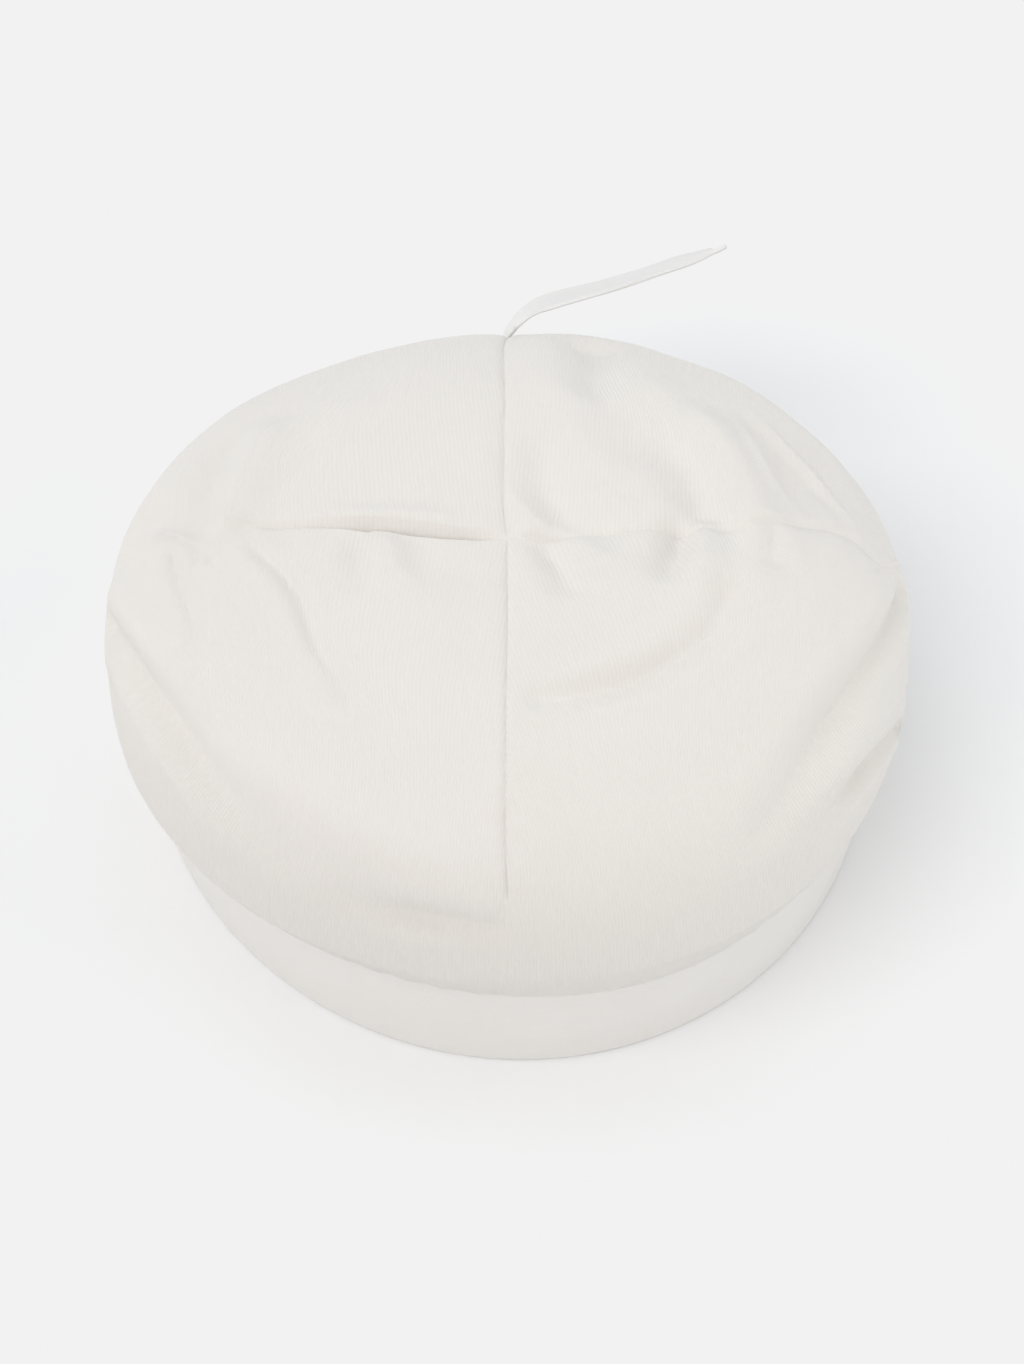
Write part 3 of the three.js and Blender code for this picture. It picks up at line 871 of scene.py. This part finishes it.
def label_mesh(material):
    """A bare woven tape, bent along its path off the back seam, with folded-in edges and a slight curl."""
    label = bpy.context.scene.cap_label
    width, thick = label.width / MM, label.thickness / MM
    middle, across, face = label_run()
    rows = len(middle)
    aside = np.linspace(-0.5, 0.5, LABEL_COLUMNS)[None, :]
    edge = np.abs(aside)
    run = np.linspace(0, 1, rows)[:, None]
    wave = LABEL_WAVE * np.sin(run * LABEL_WAVE_ALONG + aside * LABEL_WAVE_ACROSS)
    curl = LABEL_CURL * run * (4 * aside**2 - LABEL_CURL_MIDDLE) + wave
    hem = LABEL_HEM * smoothstep(*LABEL_SIDE_HEM, edge) + LABEL_HEM * smoothstep(*LABEL_END_HEM, run)
    past = ((edge - LABEL_ROUND_FROM) / (0.5 - LABEL_ROUND_FROM)).clip(0, 1)
    half = (thick / 2 + hem) * np.sqrt(np.clip(1 - past**2, LABEL_ROUND_LEAST, 1))
    sheet = middle[:, None] + across[:, None] * (aside * width)[..., None]
    upper = sheet + face[:, None] * (curl + half)[..., None]
    lower = sheet + face[:, None] * (curl - half)[..., None]

    ring = np.concatenate((upper, lower[:, ::-1]), axis=1)
    around = ring.shape[1]
    quads = ring_quads(rows, around, 0)
    last = (rows - 1) * around
    caps = []
    for j in range(LABEL_COLUMNS - 1):
        caps.append((j, j + 1, around - 2 - j, around - 1 - j))
        caps.append((last + around - 1 - j, last + around - 2 - j, last + j + 1, last + j))
    u = np.concatenate((aside[0], aside[0, ::-1], aside[0, :1])) * width
    v = np.linspace(0, label.length / MM, rows)
    grid = np.stack(np.meshgrid(u, v), -1)
    cloth = np.vstack((quad_cloth(grid[:, :-1], grid[:, 1:]).reshape(-1, 2), np.zeros((len(caps) * 4, 2))))
    return mesh_object("label_tape", placed(ring.reshape(-1, 3)), quads.tolist() + caps, material, cloth)


# Node trees


def node(tree, kind, inputs=None, **settings):
    """A new node with its settings, and with its named inputs fed."""
    made = tree.nodes.new(kind)
    for name, value in settings.items():
        setattr(made, name, value)
    for name, value in (inputs or {}).items():
        feed(tree, made.inputs[name], value)
    return made


def feed(tree, socket, value):
    """Links a socket to another, or gives it a plain value."""
    if isinstance(value, bpy.types.NodeSocket):
        tree.links.new(value, socket)
    else:
        socket.default_value = value


def calc(tree, operation, *values):
    """Output of a new math node."""
    made = node(tree, "ShaderNodeMath", operation=operation)
    for socket, value in zip(made.inputs, values):
        feed(tree, socket, value)
    return made.outputs["Value"]


def noise(tree, vector, scale, detail):
    """Output of a new flat noise texture."""
    inputs = {"Vector": vector, "Scale": scale, "Detail": detail}
    return node(tree, "ShaderNodeTexNoise", inputs, noise_dimensions="2D").outputs["Fac"]


# Stitches


def stitch_tree(name):
    """Node tree that lays stitches of thread along the edges of a mesh, turned left and right by turns."""
    tree = bpy.data.node_groups.new(name, "GeometryNodeTree")
    tree.interface.new_socket("Geometry", in_out="INPUT", socket_type="NodeSocketGeometry")
    for label in ("Spacing", "Length", "Thread", "Slant", "Looseness"):
        tree.interface.new_socket(label, in_out="INPUT", socket_type="NodeSocketFloat")
    tree.interface.new_socket("Seed", in_out="INPUT", socket_type="NodeSocketInt")
    tree.interface.new_socket("Material", in_out="INPUT", socket_type="NodeSocketMaterial")
    tree.interface.new_socket("Geometry", in_out="OUTPUT", socket_type="NodeSocketGeometry")
    given = node(tree, "NodeGroupInput").outputs

    line = node(tree, "GeometryNodeMeshToCurve", {"Mesh": given["Geometry"]}).outputs["Curve"]
    points = node(
        tree, "GeometryNodeCurveToPoints", {"Curve": line, "Length": given["Spacing"]}, mode="LENGTH")
    ball = node(tree, "GeometryNodeMeshUVSphere", {"Segments": 6, "Rings": 5, "Radius": 0.5}).outputs["Mesh"]
    thread = given["Thread"]
    size = node(tree, "ShaderNodeCombineXYZ", {"X": thread, "Y": thread, "Z": given["Length"]})
    stitch = node(tree, "GeometryNodeTransform", {"Geometry": ball, "Scale": size.outputs["Vector"]})
    off_cloth = node(tree, "GeometryNodeInputNamedAttribute", {"Name": "off_cloth"}, data_type="FLOAT_VECTOR")
    flat = node(
        tree, "FunctionNodeAlignRotationToVector",
        {"Rotation": points.outputs["Rotation"], "Vector": off_cloth.outputs["Attribute"]},
        axis="X", pivot_axis="Z")
    laid = node(
        tree, "GeometryNodeInstanceOnPoints",
        {"Points": points.outputs["Points"], "Instance": stitch.outputs["Geometry"],
         "Rotation": flat.outputs["Rotation"]})

    parity = calc(tree, "MODULO", node(tree, "GeometryNodeInputIndex").outputs["Index"], 2.0)
    slant = calc(tree, "MULTIPLY", calc(tree, "MULTIPLY_ADD", parity, 2.0, -1.0), given["Slant"])
    least = calc(tree, "MULTIPLY", given["Looseness"], -1.0)
    loose = node(
        tree, "FunctionNodeRandomValue",
        {"Min": least, "Max": given["Looseness"], "Seed": given["Seed"]}, data_type="FLOAT")
    swing = calc(tree, "ADD", slant, loose.outputs["Value"])
    angles = node(tree, "ShaderNodeCombineXYZ", {"X": swing}).outputs["Vector"]
    swung = node(
        tree, "GeometryNodeRotateInstances", {"Instances": laid.outputs["Instances"], "Rotation": angles})

    real = node(tree, "GeometryNodeRealizeInstances", {"Geometry": swung.outputs["Instances"]})
    smooth = node(tree, "GeometryNodeSetShadeSmooth", {"Geometry": real.outputs["Geometry"]})
    painted = node(
        tree, "GeometryNodeSetMaterial",
        {"Geometry": smooth.outputs["Geometry"], "Material": given["Material"]})
    node(tree, "NodeGroupOutput", {"Geometry": painted.outputs["Geometry"]})
    return tree


def sewn_lines(name, tree, lines, values):
    """Stitches flat on the cloth, as one plain mesh, along lines in millimetres round the rim's middle."""
    vertices, edges, uprights = [], [], []
    for line, off_cloth in lines:
        first = len(vertices)
        vertices += [tuple(p) for p in placed(line)]
        edges += [(first + i, first + i + 1) for i in range(len(line) - 1)]
        uprights.append(off_cloth)
    guide = bpy.data.meshes.new(name + "_guide")
    guide.from_pydata(vertices, edges, [])
    guide.attributes.new("off_cloth", "FLOAT_VECTOR", "POINT")
    guide.attributes["off_cloth"].data.foreach_set("vector", np.vstack(uprights).astype(np.float32).ravel())
    sewn = scene_object(name + "_guide", guide)
    modifier = sewn.modifiers.new("stitches", "NODES")
    modifier.node_group = tree
    for item in tree.interface.items_tree:
        if item.item_type == "SOCKET" and item.in_out == "INPUT" and item.name in values:
            modifier[item.identifier] = values[item.name]
    graph = bpy.context.evaluated_depsgraph_get()
    graph.update()
    mesh = bpy.data.meshes.new_from_object(sewn.evaluated_get(graph))
    if not mesh.polygons:
        raise RuntimeError(f"the stitches of {name} came out empty")
    mesh.name = name
    bpy.data.objects.remove(sewn)
    bpy.data.meshes.remove(guide)
    return scene_object(name, mesh)


def dart_lines(depth, ends):
    """Lines along the darts, some depth under the outer skin, and the way off the cloth there."""
    first, last_gap = ends
    lines = []
    for dart in DARTS:
        slopes = np.linspace(first, dart.run[-1][1] - last_gap, STITCH_LINE_STEPS)
        azimuths = seam_azimuth(dart, slopes)
        lines.append((crown_skin(azimuths, slopes, depth, fine=depth < 1), crown_normal(azimuths, slopes)))
    return lines


def band_seam_line():
    """The line inside the cap where the band is sewn to the crown, and the way off the cloth there."""
    band = bpy.context.scene.cap_band
    azimuth = np.linspace(0, 360, 361)
    inset = band.thickness / MM + OVERLOCK_LIFT
    x, y = band_plan(azimuth, inset)
    outer_x, outer_y = band_plan(azimuth, inset - 1)
    line = np.stack((x, y, band.height / MM - OVERLOCK_DROP - sag_at(azimuth)), -1)
    return line, np.stack((x - outer_x, y - outer_y, 0 * x), -1)


# Materials


def knit_group():
    """Jersey knit: V-shaped stitches in ribs. Cloth is in millimetres, ribs along its second direction."""
    tree = bpy.data.node_groups.new("jersey_knit", "ShaderNodeTree")
    tree.interface.new_socket("Cloth", in_out="INPUT", socket_type="NodeSocketVector")
    for name in ("Rib", "Course", "Slub"):
        tree.interface.new_socket(name, in_out="INPUT", socket_type="NodeSocketFloat")
    for name in ("Height", "Shade", "Mottle"):
        tree.interface.new_socket(name, in_out="OUTPUT", socket_type="NodeSocketFloat")
    given = node(tree, "NodeGroupInput").outputs
    cloth = given["Cloth"]
    parts = node(tree, "ShaderNodeSeparateXYZ", {"Vector": cloth}).outputs

    drift = calc(tree, "MULTIPLY_ADD", noise(tree, cloth, *WAVER_NOISE), WAVER_SHARE, -WAVER_SHARE / 2)
    sideways = calc(tree, "ADD", calc(tree, "DIVIDE", parts["X"], given["Rib"]), drift)
    along = calc(tree, "ADD", calc(tree, "DIVIDE", parts["Y"], given["Course"]), drift)
    ramp = calc(tree, "MULTIPLY", calc(tree, "PINGPONG", sideways, 0.5), 2.0)
    rib = calc(tree, "SINE", calc(tree, "MULTIPLY", ramp, math.pi / 2))
    vee = calc(tree, "ADD", along, calc(tree, "MULTIPLY", ramp, LOOP_SLANT))
    loop = calc(tree, "SINE", calc(tree, "MULTIPLY", vee, 2 * math.pi))
    yarn = calc(tree, "MULTIPLY_ADD", loop, LOOP_DEPTH / 2, 1 - LOOP_DEPTH / 2)
    ridge = calc(tree, "MULTIPLY", rib, yarn)

    stretched = node(tree, "ShaderNodeMapping", {"Vector": cloth, "Scale": SLUB_STRETCH}).outputs["Vector"]
    slub = noise(tree, stretched, *SLUB_NOISE)
    height = calc(tree, "ADD", ridge, calc(tree, "MULTIPLY", slub, given["Slub"]))
    shade = calc(tree, "MULTIPLY_ADD", ridge, 1 - SLUB_SHADE, calc(tree, "MULTIPLY", slub, SLUB_SHADE))
    mottle = noise(tree, cloth, *MOTTLE_NOISE)
    node(tree, "NodeGroupOutput", {"Height": height, "Shade": shade, "Mottle": mottle})
    return tree


def jersey_knit():
    """The knit that all the cloth shares, built once."""
    return bpy.data.node_groups.get("jersey_knit") or knit_group()


def cloth_material(name, tint, shade_tint, weave):
    """Off-white cotton: knit relief, painted shade between the ribs and where the jersey is drawn in near the
    band, with a soft sheen and uneven tone.
    """
    material = bpy.data.materials.new(name)
    material.use_nodes = True
    tree = material.node_tree
    shader = tree.nodes["Principled BSDF"]
    lay = node(tree, "ShaderNodeUVMap", uv_map="cloth").outputs["UV"]
    turned_lay = node(tree, "ShaderNodeMapping", {"Vector": lay, "Rotation": (0, 0, weave.turn)})
    knit = node(
        tree, "ShaderNodeGroup",
        {"Cloth": turned_lay.outputs["Vector"], "Rib": weave.rib, "Course": weave.course, "Slub": weave.slub},
        node_tree=jersey_knit()).outputs
    gathered_and_shaded = node(tree, "ShaderNodeAttribute", attribute_name="gathered_and_shaded").outputs["Fac"]

    # The colour is painted darker between the ribs as painted shade; the mottle adds the cloth's own uneven
    # tone.
    rib_shade = calc(tree, "MULTIPLY", knit["Shade"], RIB_TONE)
    tone = calc(tree, "MULTIPLY_ADD", knit["Mottle"], MOTTLE_TONE, rib_shade)
    tone_and_rib_shade = node(
        tree, "ShaderNodeMix", {"Factor": tone, "A": (*shade_tint, 1), "B": (*tint, 1)}, data_type="RGBA")
    # Where the jersey is drawn in near the band, the colour is mixed towards a darker tint: painted shade.
    painted_shade_tint = (*(PAINTED_SHADE_TONE * part for part in shade_tint), 1)
    drawn_in_and_shaded = node(
        tree, "ShaderNodeMix", {"Factor": gathered_and_shaded, "A": tone_and_rib_shade.outputs["Result"], "B": painted_shade_tint},
        data_type="RGBA")
    rough = calc(tree, "MULTIPLY_ADD", knit["Shade"], ROUGH_FALL, ROUGH_BETWEEN)
    raised = calc(tree, "MULTIPLY_ADD", gathered_and_shaded, GATHER_RELIEF, 1.0)
    height = calc(tree, "MULTIPLY", knit["Height"], raised)
    relief = node(
        tree, "ShaderNodeBump", {"Distance": RIB_RELIEF, "Strength": weave.relief, "Height": height})
    for name, value in (("Base Color", drawn_in_and_shaded.outputs["Result"]), ("Roughness", rough),
                        ("Normal", relief.outputs["Normal"]), ("Specular IOR Level", CLOTH_SHINE),
                        ("Sheen Weight", weave.sheen), ("Sheen Roughness", SHEEN_ROUGHNESS)):
        feed(tree, shader.inputs[name], value)
    return material


def plain_material(name, colour, roughness, shine):
    """One even colour, for the thread and the paper."""
    material = bpy.data.materials.new(name)
    material.use_nodes = True
    shader = material.node_tree.nodes["Principled BSDF"]
    shader.inputs["Base Color"].default_value = (*colour, 1)
    shader.inputs["Roughness"].default_value = roughness
    shader.inputs["Specular IOR Level"].default_value = shine
    return material


# The stage


def paper_floor(stage):
    """A wide sheet of paper under the cap."""
    half = stage.floor_reach
    corners = [(-half, -half, 0), (half, -half, 0), (half, half, 0), (-half, half, 0)]
    paper = plain_material("studio_paper", stage.paper, 1.0, 0.0)
    return mesh_object("paper_floor", corners, [(0, 1, 2, 3)], paper)


def studio_air(stage):
    """Even light from all round."""
    world = bpy.data.worlds.new("studio_air")
    world.use_nodes = True
    sky = world.node_tree.nodes["Background"]
    sky.inputs["Color"].default_value = (1, 1, 1, 1)
    sky.inputs["Strength"].default_value = stage.sky
    return world


def soft_light(lamp, stage):
    """A broad lamp that shines on the cap from its side."""
    sun = bpy.data.lights.new(lamp.name, "SUN")
    sun.energy = lamp.strength * stage.brightness
    sun.color = lamp.tint
    sun.angle = stage.light_spread
    light = scene_object(lamp.name, sun)
    light.rotation_euler = (math.pi / 2 - math.radians(lamp.height), 0, math.radians(lamp.azimuth + 90))


def photo_camera(stage):
    """The camera at the photo's height and distance, in front of the cap."""
    tilt = stage.elevation
    back = Vector((0, -math.cos(tilt), math.sin(tilt)))
    up = Vector((0, math.sin(tilt), math.cos(tilt)))
    right = Vector((1, 0, 0))
    lens = bpy.data.cameras.new("photo_camera")
    lens.sensor_fit = "VERTICAL"
    lens.sensor_height = SENSOR_HEIGHT
    lens.lens = stage.lens
    lens.clip_start = NEAREST_SEEN
    camera = scene_object("photo_camera", lens)
    aim = Vector(stage.rim_middle) + up * stage.aim_up + right * stage.aim_right
    camera.location = aim + back * stage.distance
    camera.rotation_euler = (math.pi / 2 - tilt, 0, 0)
    return camera


def show_paper_even(view, tone):
    """Light above this tone shows as that tone, as paper does in a bright studio picture."""
    view.view_transform = "Standard"
    view.use_curve_mapping = True
    view.curve_mapping.extend = "HORIZONTAL"
    curve = view.curve_mapping.curves[3]
    curve.points[0].location = (0, 0)
    curve.points[1].location = (1, tone)
    curve.points.new(tone, tone)
    for point in curve.points:
        point.handle_type = "VECTOR"
    view.curve_mapping.update()


# Settings


class CapCrownSettings(bpy.types.PropertyGroup):
    half_width: FloatProperty(
        name="Half width", description="Reach of the crown to each side",
        default=CROWN_HIGH[0], unit="LENGTH")
    front_reach: FloatProperty(
        name="Front reach", description="Reach of the crown to the front",
        default=CROWN_FRONT_REACH, unit="LENGTH")
    back_reach: FloatProperty(
        name="Back reach", description="Reach of the crown to the back",
        default=CROWN_HIGH[1] - RIM_MIDDLE_Y, unit="LENGTH")
    top_height: FloatProperty(
        name="Top height", description="Height of the dome before the dip at its apex",
        default=0.0598, unit="LENGTH")
    wall: FloatProperty(
        name="Wall", description="Thickness of the jersey with its seam allowance",
        default=0.0012, unit="LENGTH")
    panel_puff: FloatProperty(
        name="Panel puff", description="How far the four quarters swell between the darts",
        default=0.001, unit="LENGTH")
    seam_depth: FloatProperty(
        name="Seam depth", description="Share of the sunk seams' full depth",
        default=1.0, subtype="FACTOR")
    fold_strength: FloatProperty(
        name="Fold strength", description="Share of the folds' full height",
        default=1.0, subtype="FACTOR")
    unevenness: FloatProperty(
        name="Unevenness", description="Height of the small lumps of soft cloth",
        default=0.00022, unit="LENGTH")
    tint: FloatVectorProperty(
        name="Tint", description="Colour of the jersey on its ribs",
        subtype="COLOR", default=(0.836, 0.811, 0.780))
    shade: FloatVectorProperty(
        name="Shade", description="Colour of the jersey between its ribs",
        subtype="COLOR", default=(0.795, 0.772, 0.738))


class CapBandSettings(bpy.types.PropertyGroup):
    half_width: FloatProperty(
        name="Half width", description="Reach of the band to each side",
        default=0.0634, unit="LENGTH")
    front_reach: FloatProperty(
        name="Front reach", description="Reach of the band to the front",
        default=0.0717, unit="LENGTH")
    back_reach: FloatProperty(
        name="Back reach", description="Reach of the band to the back",
        default=0.0632, unit="LENGTH")
    height: FloatProperty(
        name="Height", description="Height of the folded band",
        default=BAND_HEIGHT, unit="LENGTH")
    thickness: FloatProperty(
        name="Thickness", description="Both layers with the gap between them",
        default=0.0024, unit="LENGTH")
    layer: FloatProperty(name="Layer", description="Thickness of one layer", default=0.00095, unit="LENGTH")
    belly: FloatProperty(
        name="Belly", description="How far the band bows out halfway up",
        default=0.0005, unit="LENGTH")
    join_depth: FloatProperty(
        name="Join depth", description="Depth of the join at the band's back",
        default=0.0004, unit="LENGTH")
    unevenness: FloatProperty(
        name="Unevenness", description="Height of the small lumps of soft cloth",
        default=0.00022, unit="LENGTH")
    tint: FloatVectorProperty(
        name="Tint", description="Colour of the band on its ribs",
        subtype="COLOR", default=(0.852, 0.837, 0.815))
    shade: FloatVectorProperty(
        name="Shade", description="Colour of the band between its ribs",
        subtype="COLOR", default=(0.785, 0.766, 0.742))


class CapLabelSettings(bpy.types.PropertyGroup):
    width: FloatProperty(name="Width", description="Width of the label", default=0.022, unit="LENGTH")
    length: FloatProperty(
        name="Length", description="Length of the label from the seam",
        default=0.043, unit="LENGTH")
    thickness: FloatProperty(
        name="Thickness", description="Thickness of the tape",
        default=0.0005, unit="LENGTH")
    tint: FloatVectorProperty(
        name="Tint", description="Colour of the tape",
        subtype="COLOR", default=(0.90, 0.892, 0.88))
    shade: FloatVectorProperty(
        name="Shade", description="Colour between the tape's yarns",
        subtype="COLOR", default=(0.80, 0.793, 0.783))


class CapStitchSettings(bpy.types.PropertyGroup):
    spacing: FloatProperty(
        name="Spacing", description="From one stitch to the next",
        default=0.0020, unit="LENGTH")
    length: FloatProperty(name="Length", description="Length of one stitch", default=0.0015, unit="LENGTH")
    thread: FloatProperty(
        name="Thread", description="Thickness of the thread",
        default=0.00022, unit="LENGTH")
    overlock_spacing: FloatProperty(
        name="Overlock spacing", description="From one overlock stitch to the next",
        default=0.0013, unit="LENGTH")
    overlock_length: FloatProperty(
        name="Overlock length", description="Length of one overlock stitch",
        default=0.0030, unit="LENGTH")
    overlock_slant: FloatProperty(
        name="Overlock slant", description="Turn of the overlock stitches to either side",
        default=math.radians(58), subtype="ANGLE")
    seed: IntProperty(name="Seed", description="Seed of the stitches' small turns", default=4)
    tint: FloatVectorProperty(
        name="Tint", description="Colour of the thread",
        subtype="COLOR", default=(0.80, 0.775, 0.73))


class CapStageSettings(bpy.types.PropertyGroup):
    rim_middle: FloatVectorProperty(
        name="Rim middle", description="Middle of the rim on the floor",
        subtype="TRANSLATION", unit="LENGTH", default=(0, RIM_MIDDLE_Y, 0))
    elevation: FloatProperty(
        name="Elevation", description="Height of the view above the horizon",
        default=math.radians(50), subtype="ANGLE")
    distance: FloatProperty(
        name="Distance", description="From the camera to the rim's middle",
        default=0.9, unit="LENGTH")
    lens: FloatProperty(
        name="Lens", description="Focal length for a sensor 36 mm high",
        default=132.07, unit="CAMERA")
    aim_up: FloatProperty(
        name="Aim up", description="How far above the rim's middle the picture's middle lies",
        default=0.00969, unit="LENGTH")
    aim_right: FloatProperty(
        name="Aim right", description="How far right of the rim's middle the picture's middle lies",
        default=0.00072, unit="LENGTH")
    sky: FloatProperty(name="Sky", description="Strength of the light from all round", default=0.23)
    paper_tone: FloatProperty(
        name="Paper tone", description="Brightest tone of the picture",
        default=0.888, subtype="FACTOR")
    brightness: FloatProperty(
        name="Brightness", description="Share of the lamps' full strength",
        default=1.0, subtype="FACTOR")
    light_spread: FloatProperty(
        name="Light spread", description="Width of each soft light, as seen from the cap",
        default=math.radians(60), subtype="ANGLE")
    paper: FloatVectorProperty(
        name="Paper", description="Colour of the floor",
        subtype="COLOR", default=(0.912, 0.92, 0.93))
    floor_reach: FloatProperty(
        name="Floor reach", description="Reach of the paper floor to each side from the middle",
        default=6.0, unit="LENGTH")


# Operators


class CAP_OT_crown(bpy.types.Operator):
    """Makes the darted crown of soft jersey"""

    bl_idname = "cap.crown"
    bl_label = "Crown"

    def execute(self, context):
        crown = context.scene.cap_crown
        made = crown_mesh(cloth_material("crown_jersey", crown.tint, crown.shade, CROWN_WEAVE))
        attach(made, "root")
        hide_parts("crown")
        return {"FINISHED"}


class CAP_OT_band(bpy.types.Operator):
    """Makes the band, folded double at the rim"""

    bl_idname = "cap.band"
    bl_label = "Band"

    def execute(self, context):
        band = context.scene.cap_band
        made = band_mesh(cloth_material("band_jersey", band.tint, band.shade, BAND_WEAVE))
        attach(made, "root")
        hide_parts("band")
        return {"FINISHED"}


class CAP_OT_label(bpy.types.Operator):
    """Makes the bare label at the back seam"""

    bl_idname = "cap.label"
    bl_label = "Label"

    def execute(self, context):
        label = context.scene.cap_label
        made = label_mesh(cloth_material("label_tape", label.tint, label.shade, LABEL_WEAVE))
        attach(made, "root")
        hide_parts("label")
        return {"FINISHED"}


class CAP_OT_stitches(bpy.types.Operator):
    """Sews the darts, their inside edges and the band's seam"""

    bl_idname = "cap.stitches"
    bl_label = "Stitches"

    def execute(self, context):
        stitch = context.scene.cap_stitch
        thread = plain_material("sewing_thread", stitch.tint, THREAD_ROUGHNESS, THREAD_SHINE)
        tree = stitch_tree("sewn_stitches")
        plain = {"Spacing": stitch.spacing, "Length": stitch.length, "Thread": stitch.thread, "Slant": 0.0,
                 "Looseness": STITCH_LOOSENESS, "Seed": stitch.seed, "Material": thread}
        overlock = plain | {"Spacing": stitch.overlock_spacing, "Length": stitch.overlock_length,
                            "Slant": stitch.overlock_slant}
        inside = context.scene.cap_crown.wall / MM + OVERLOCK_LIFT
        for name, slot, lines, values in (
            ("dart_stitches", "crown_jersey", dart_lines(STITCH_DEPTH, STITCH_ENDS), plain),
            ("dart_overlock", "crown_jersey", dart_lines(inside, OVERLOCK_ENDS), overlock),
            ("band_overlock", "band_jersey", [band_seam_line()], overlock),
        ):
            made = sewn_lines(name, tree, lines, values)
            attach(made, "root")
        return {"FINISHED"}


class CAP_OT_stage(bpy.types.Operator):
    """Sets out the paper floor, the soft light and the camera"""

    bl_idname = "cap.stage"
    bl_label = "Stage"

    def execute(self, context):
        stage = context.scene.cap_stage
        paper_floor(stage)
        context.scene.world = studio_air(stage)
        for lamp in LAMPS:
            soft_light(lamp, stage)
        context.scene.camera = photo_camera(stage)
        show_paper_even(context.scene.view_settings, stage.paper_tone)
        return {"FINISHED"}


class CAP_PT_pieces(bpy.types.Panel):
    """Lists the cap's pieces"""

    bl_idname = "CAP_PT_pieces"
    bl_label = "Baby cap"
    bl_space_type = "VIEW_3D"
    bl_region_type = "UI"
    bl_category = "Cap"

    def draw(self, context):
        for operator in OPERATORS:
            self.layout.operator(operator.bl_idname)
        for group in SETTINGS:
            settings = getattr(context.scene, group)
            for name in settings.bl_rna.properties.keys():
                if name not in ("rna_type", "name"):
                    self.layout.prop(settings, name)


SETTINGS = {
    "cap_crown": CapCrownSettings,
    "cap_band": CapBandSettings,
    "cap_label": CapLabelSettings,
    "cap_stitch": CapStitchSettings,
    "cap_stage": CapStageSettings,
}
OPERATORS = (CAP_OT_stage, CAP_OT_crown, CAP_OT_band, CAP_OT_label, CAP_OT_stitches)


def register():
    """Adds the settings, the operators and the panel."""
    for group, settings in SETTINGS.items():
        bpy.utils.register_class(settings)
        setattr(bpy.types.Scene, group, PointerProperty(type=settings))
    for operator in OPERATORS:
        bpy.utils.register_class(operator)
    bpy.utils.register_class(CAP_PT_pieces)


def unregister():
    """Takes them away again, last one first."""
    bpy.utils.unregister_class(CAP_PT_pieces)
    for operator in reversed(OPERATORS):
        bpy.utils.unregister_class(operator)
    for group, settings in reversed(SETTINGS.items()):
        delattr(bpy.types.Scene, group)
        bpy.utils.unregister_class(settings)


def main():
    """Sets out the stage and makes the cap."""
    register()
    bpy.ops.cap.stage()
    bpy.ops.cap.crown()
    bpy.ops.cap.band()
    bpy.ops.cap.label()
    bpy.ops.cap.stitches()


if __name__ == "__main__":
    main()
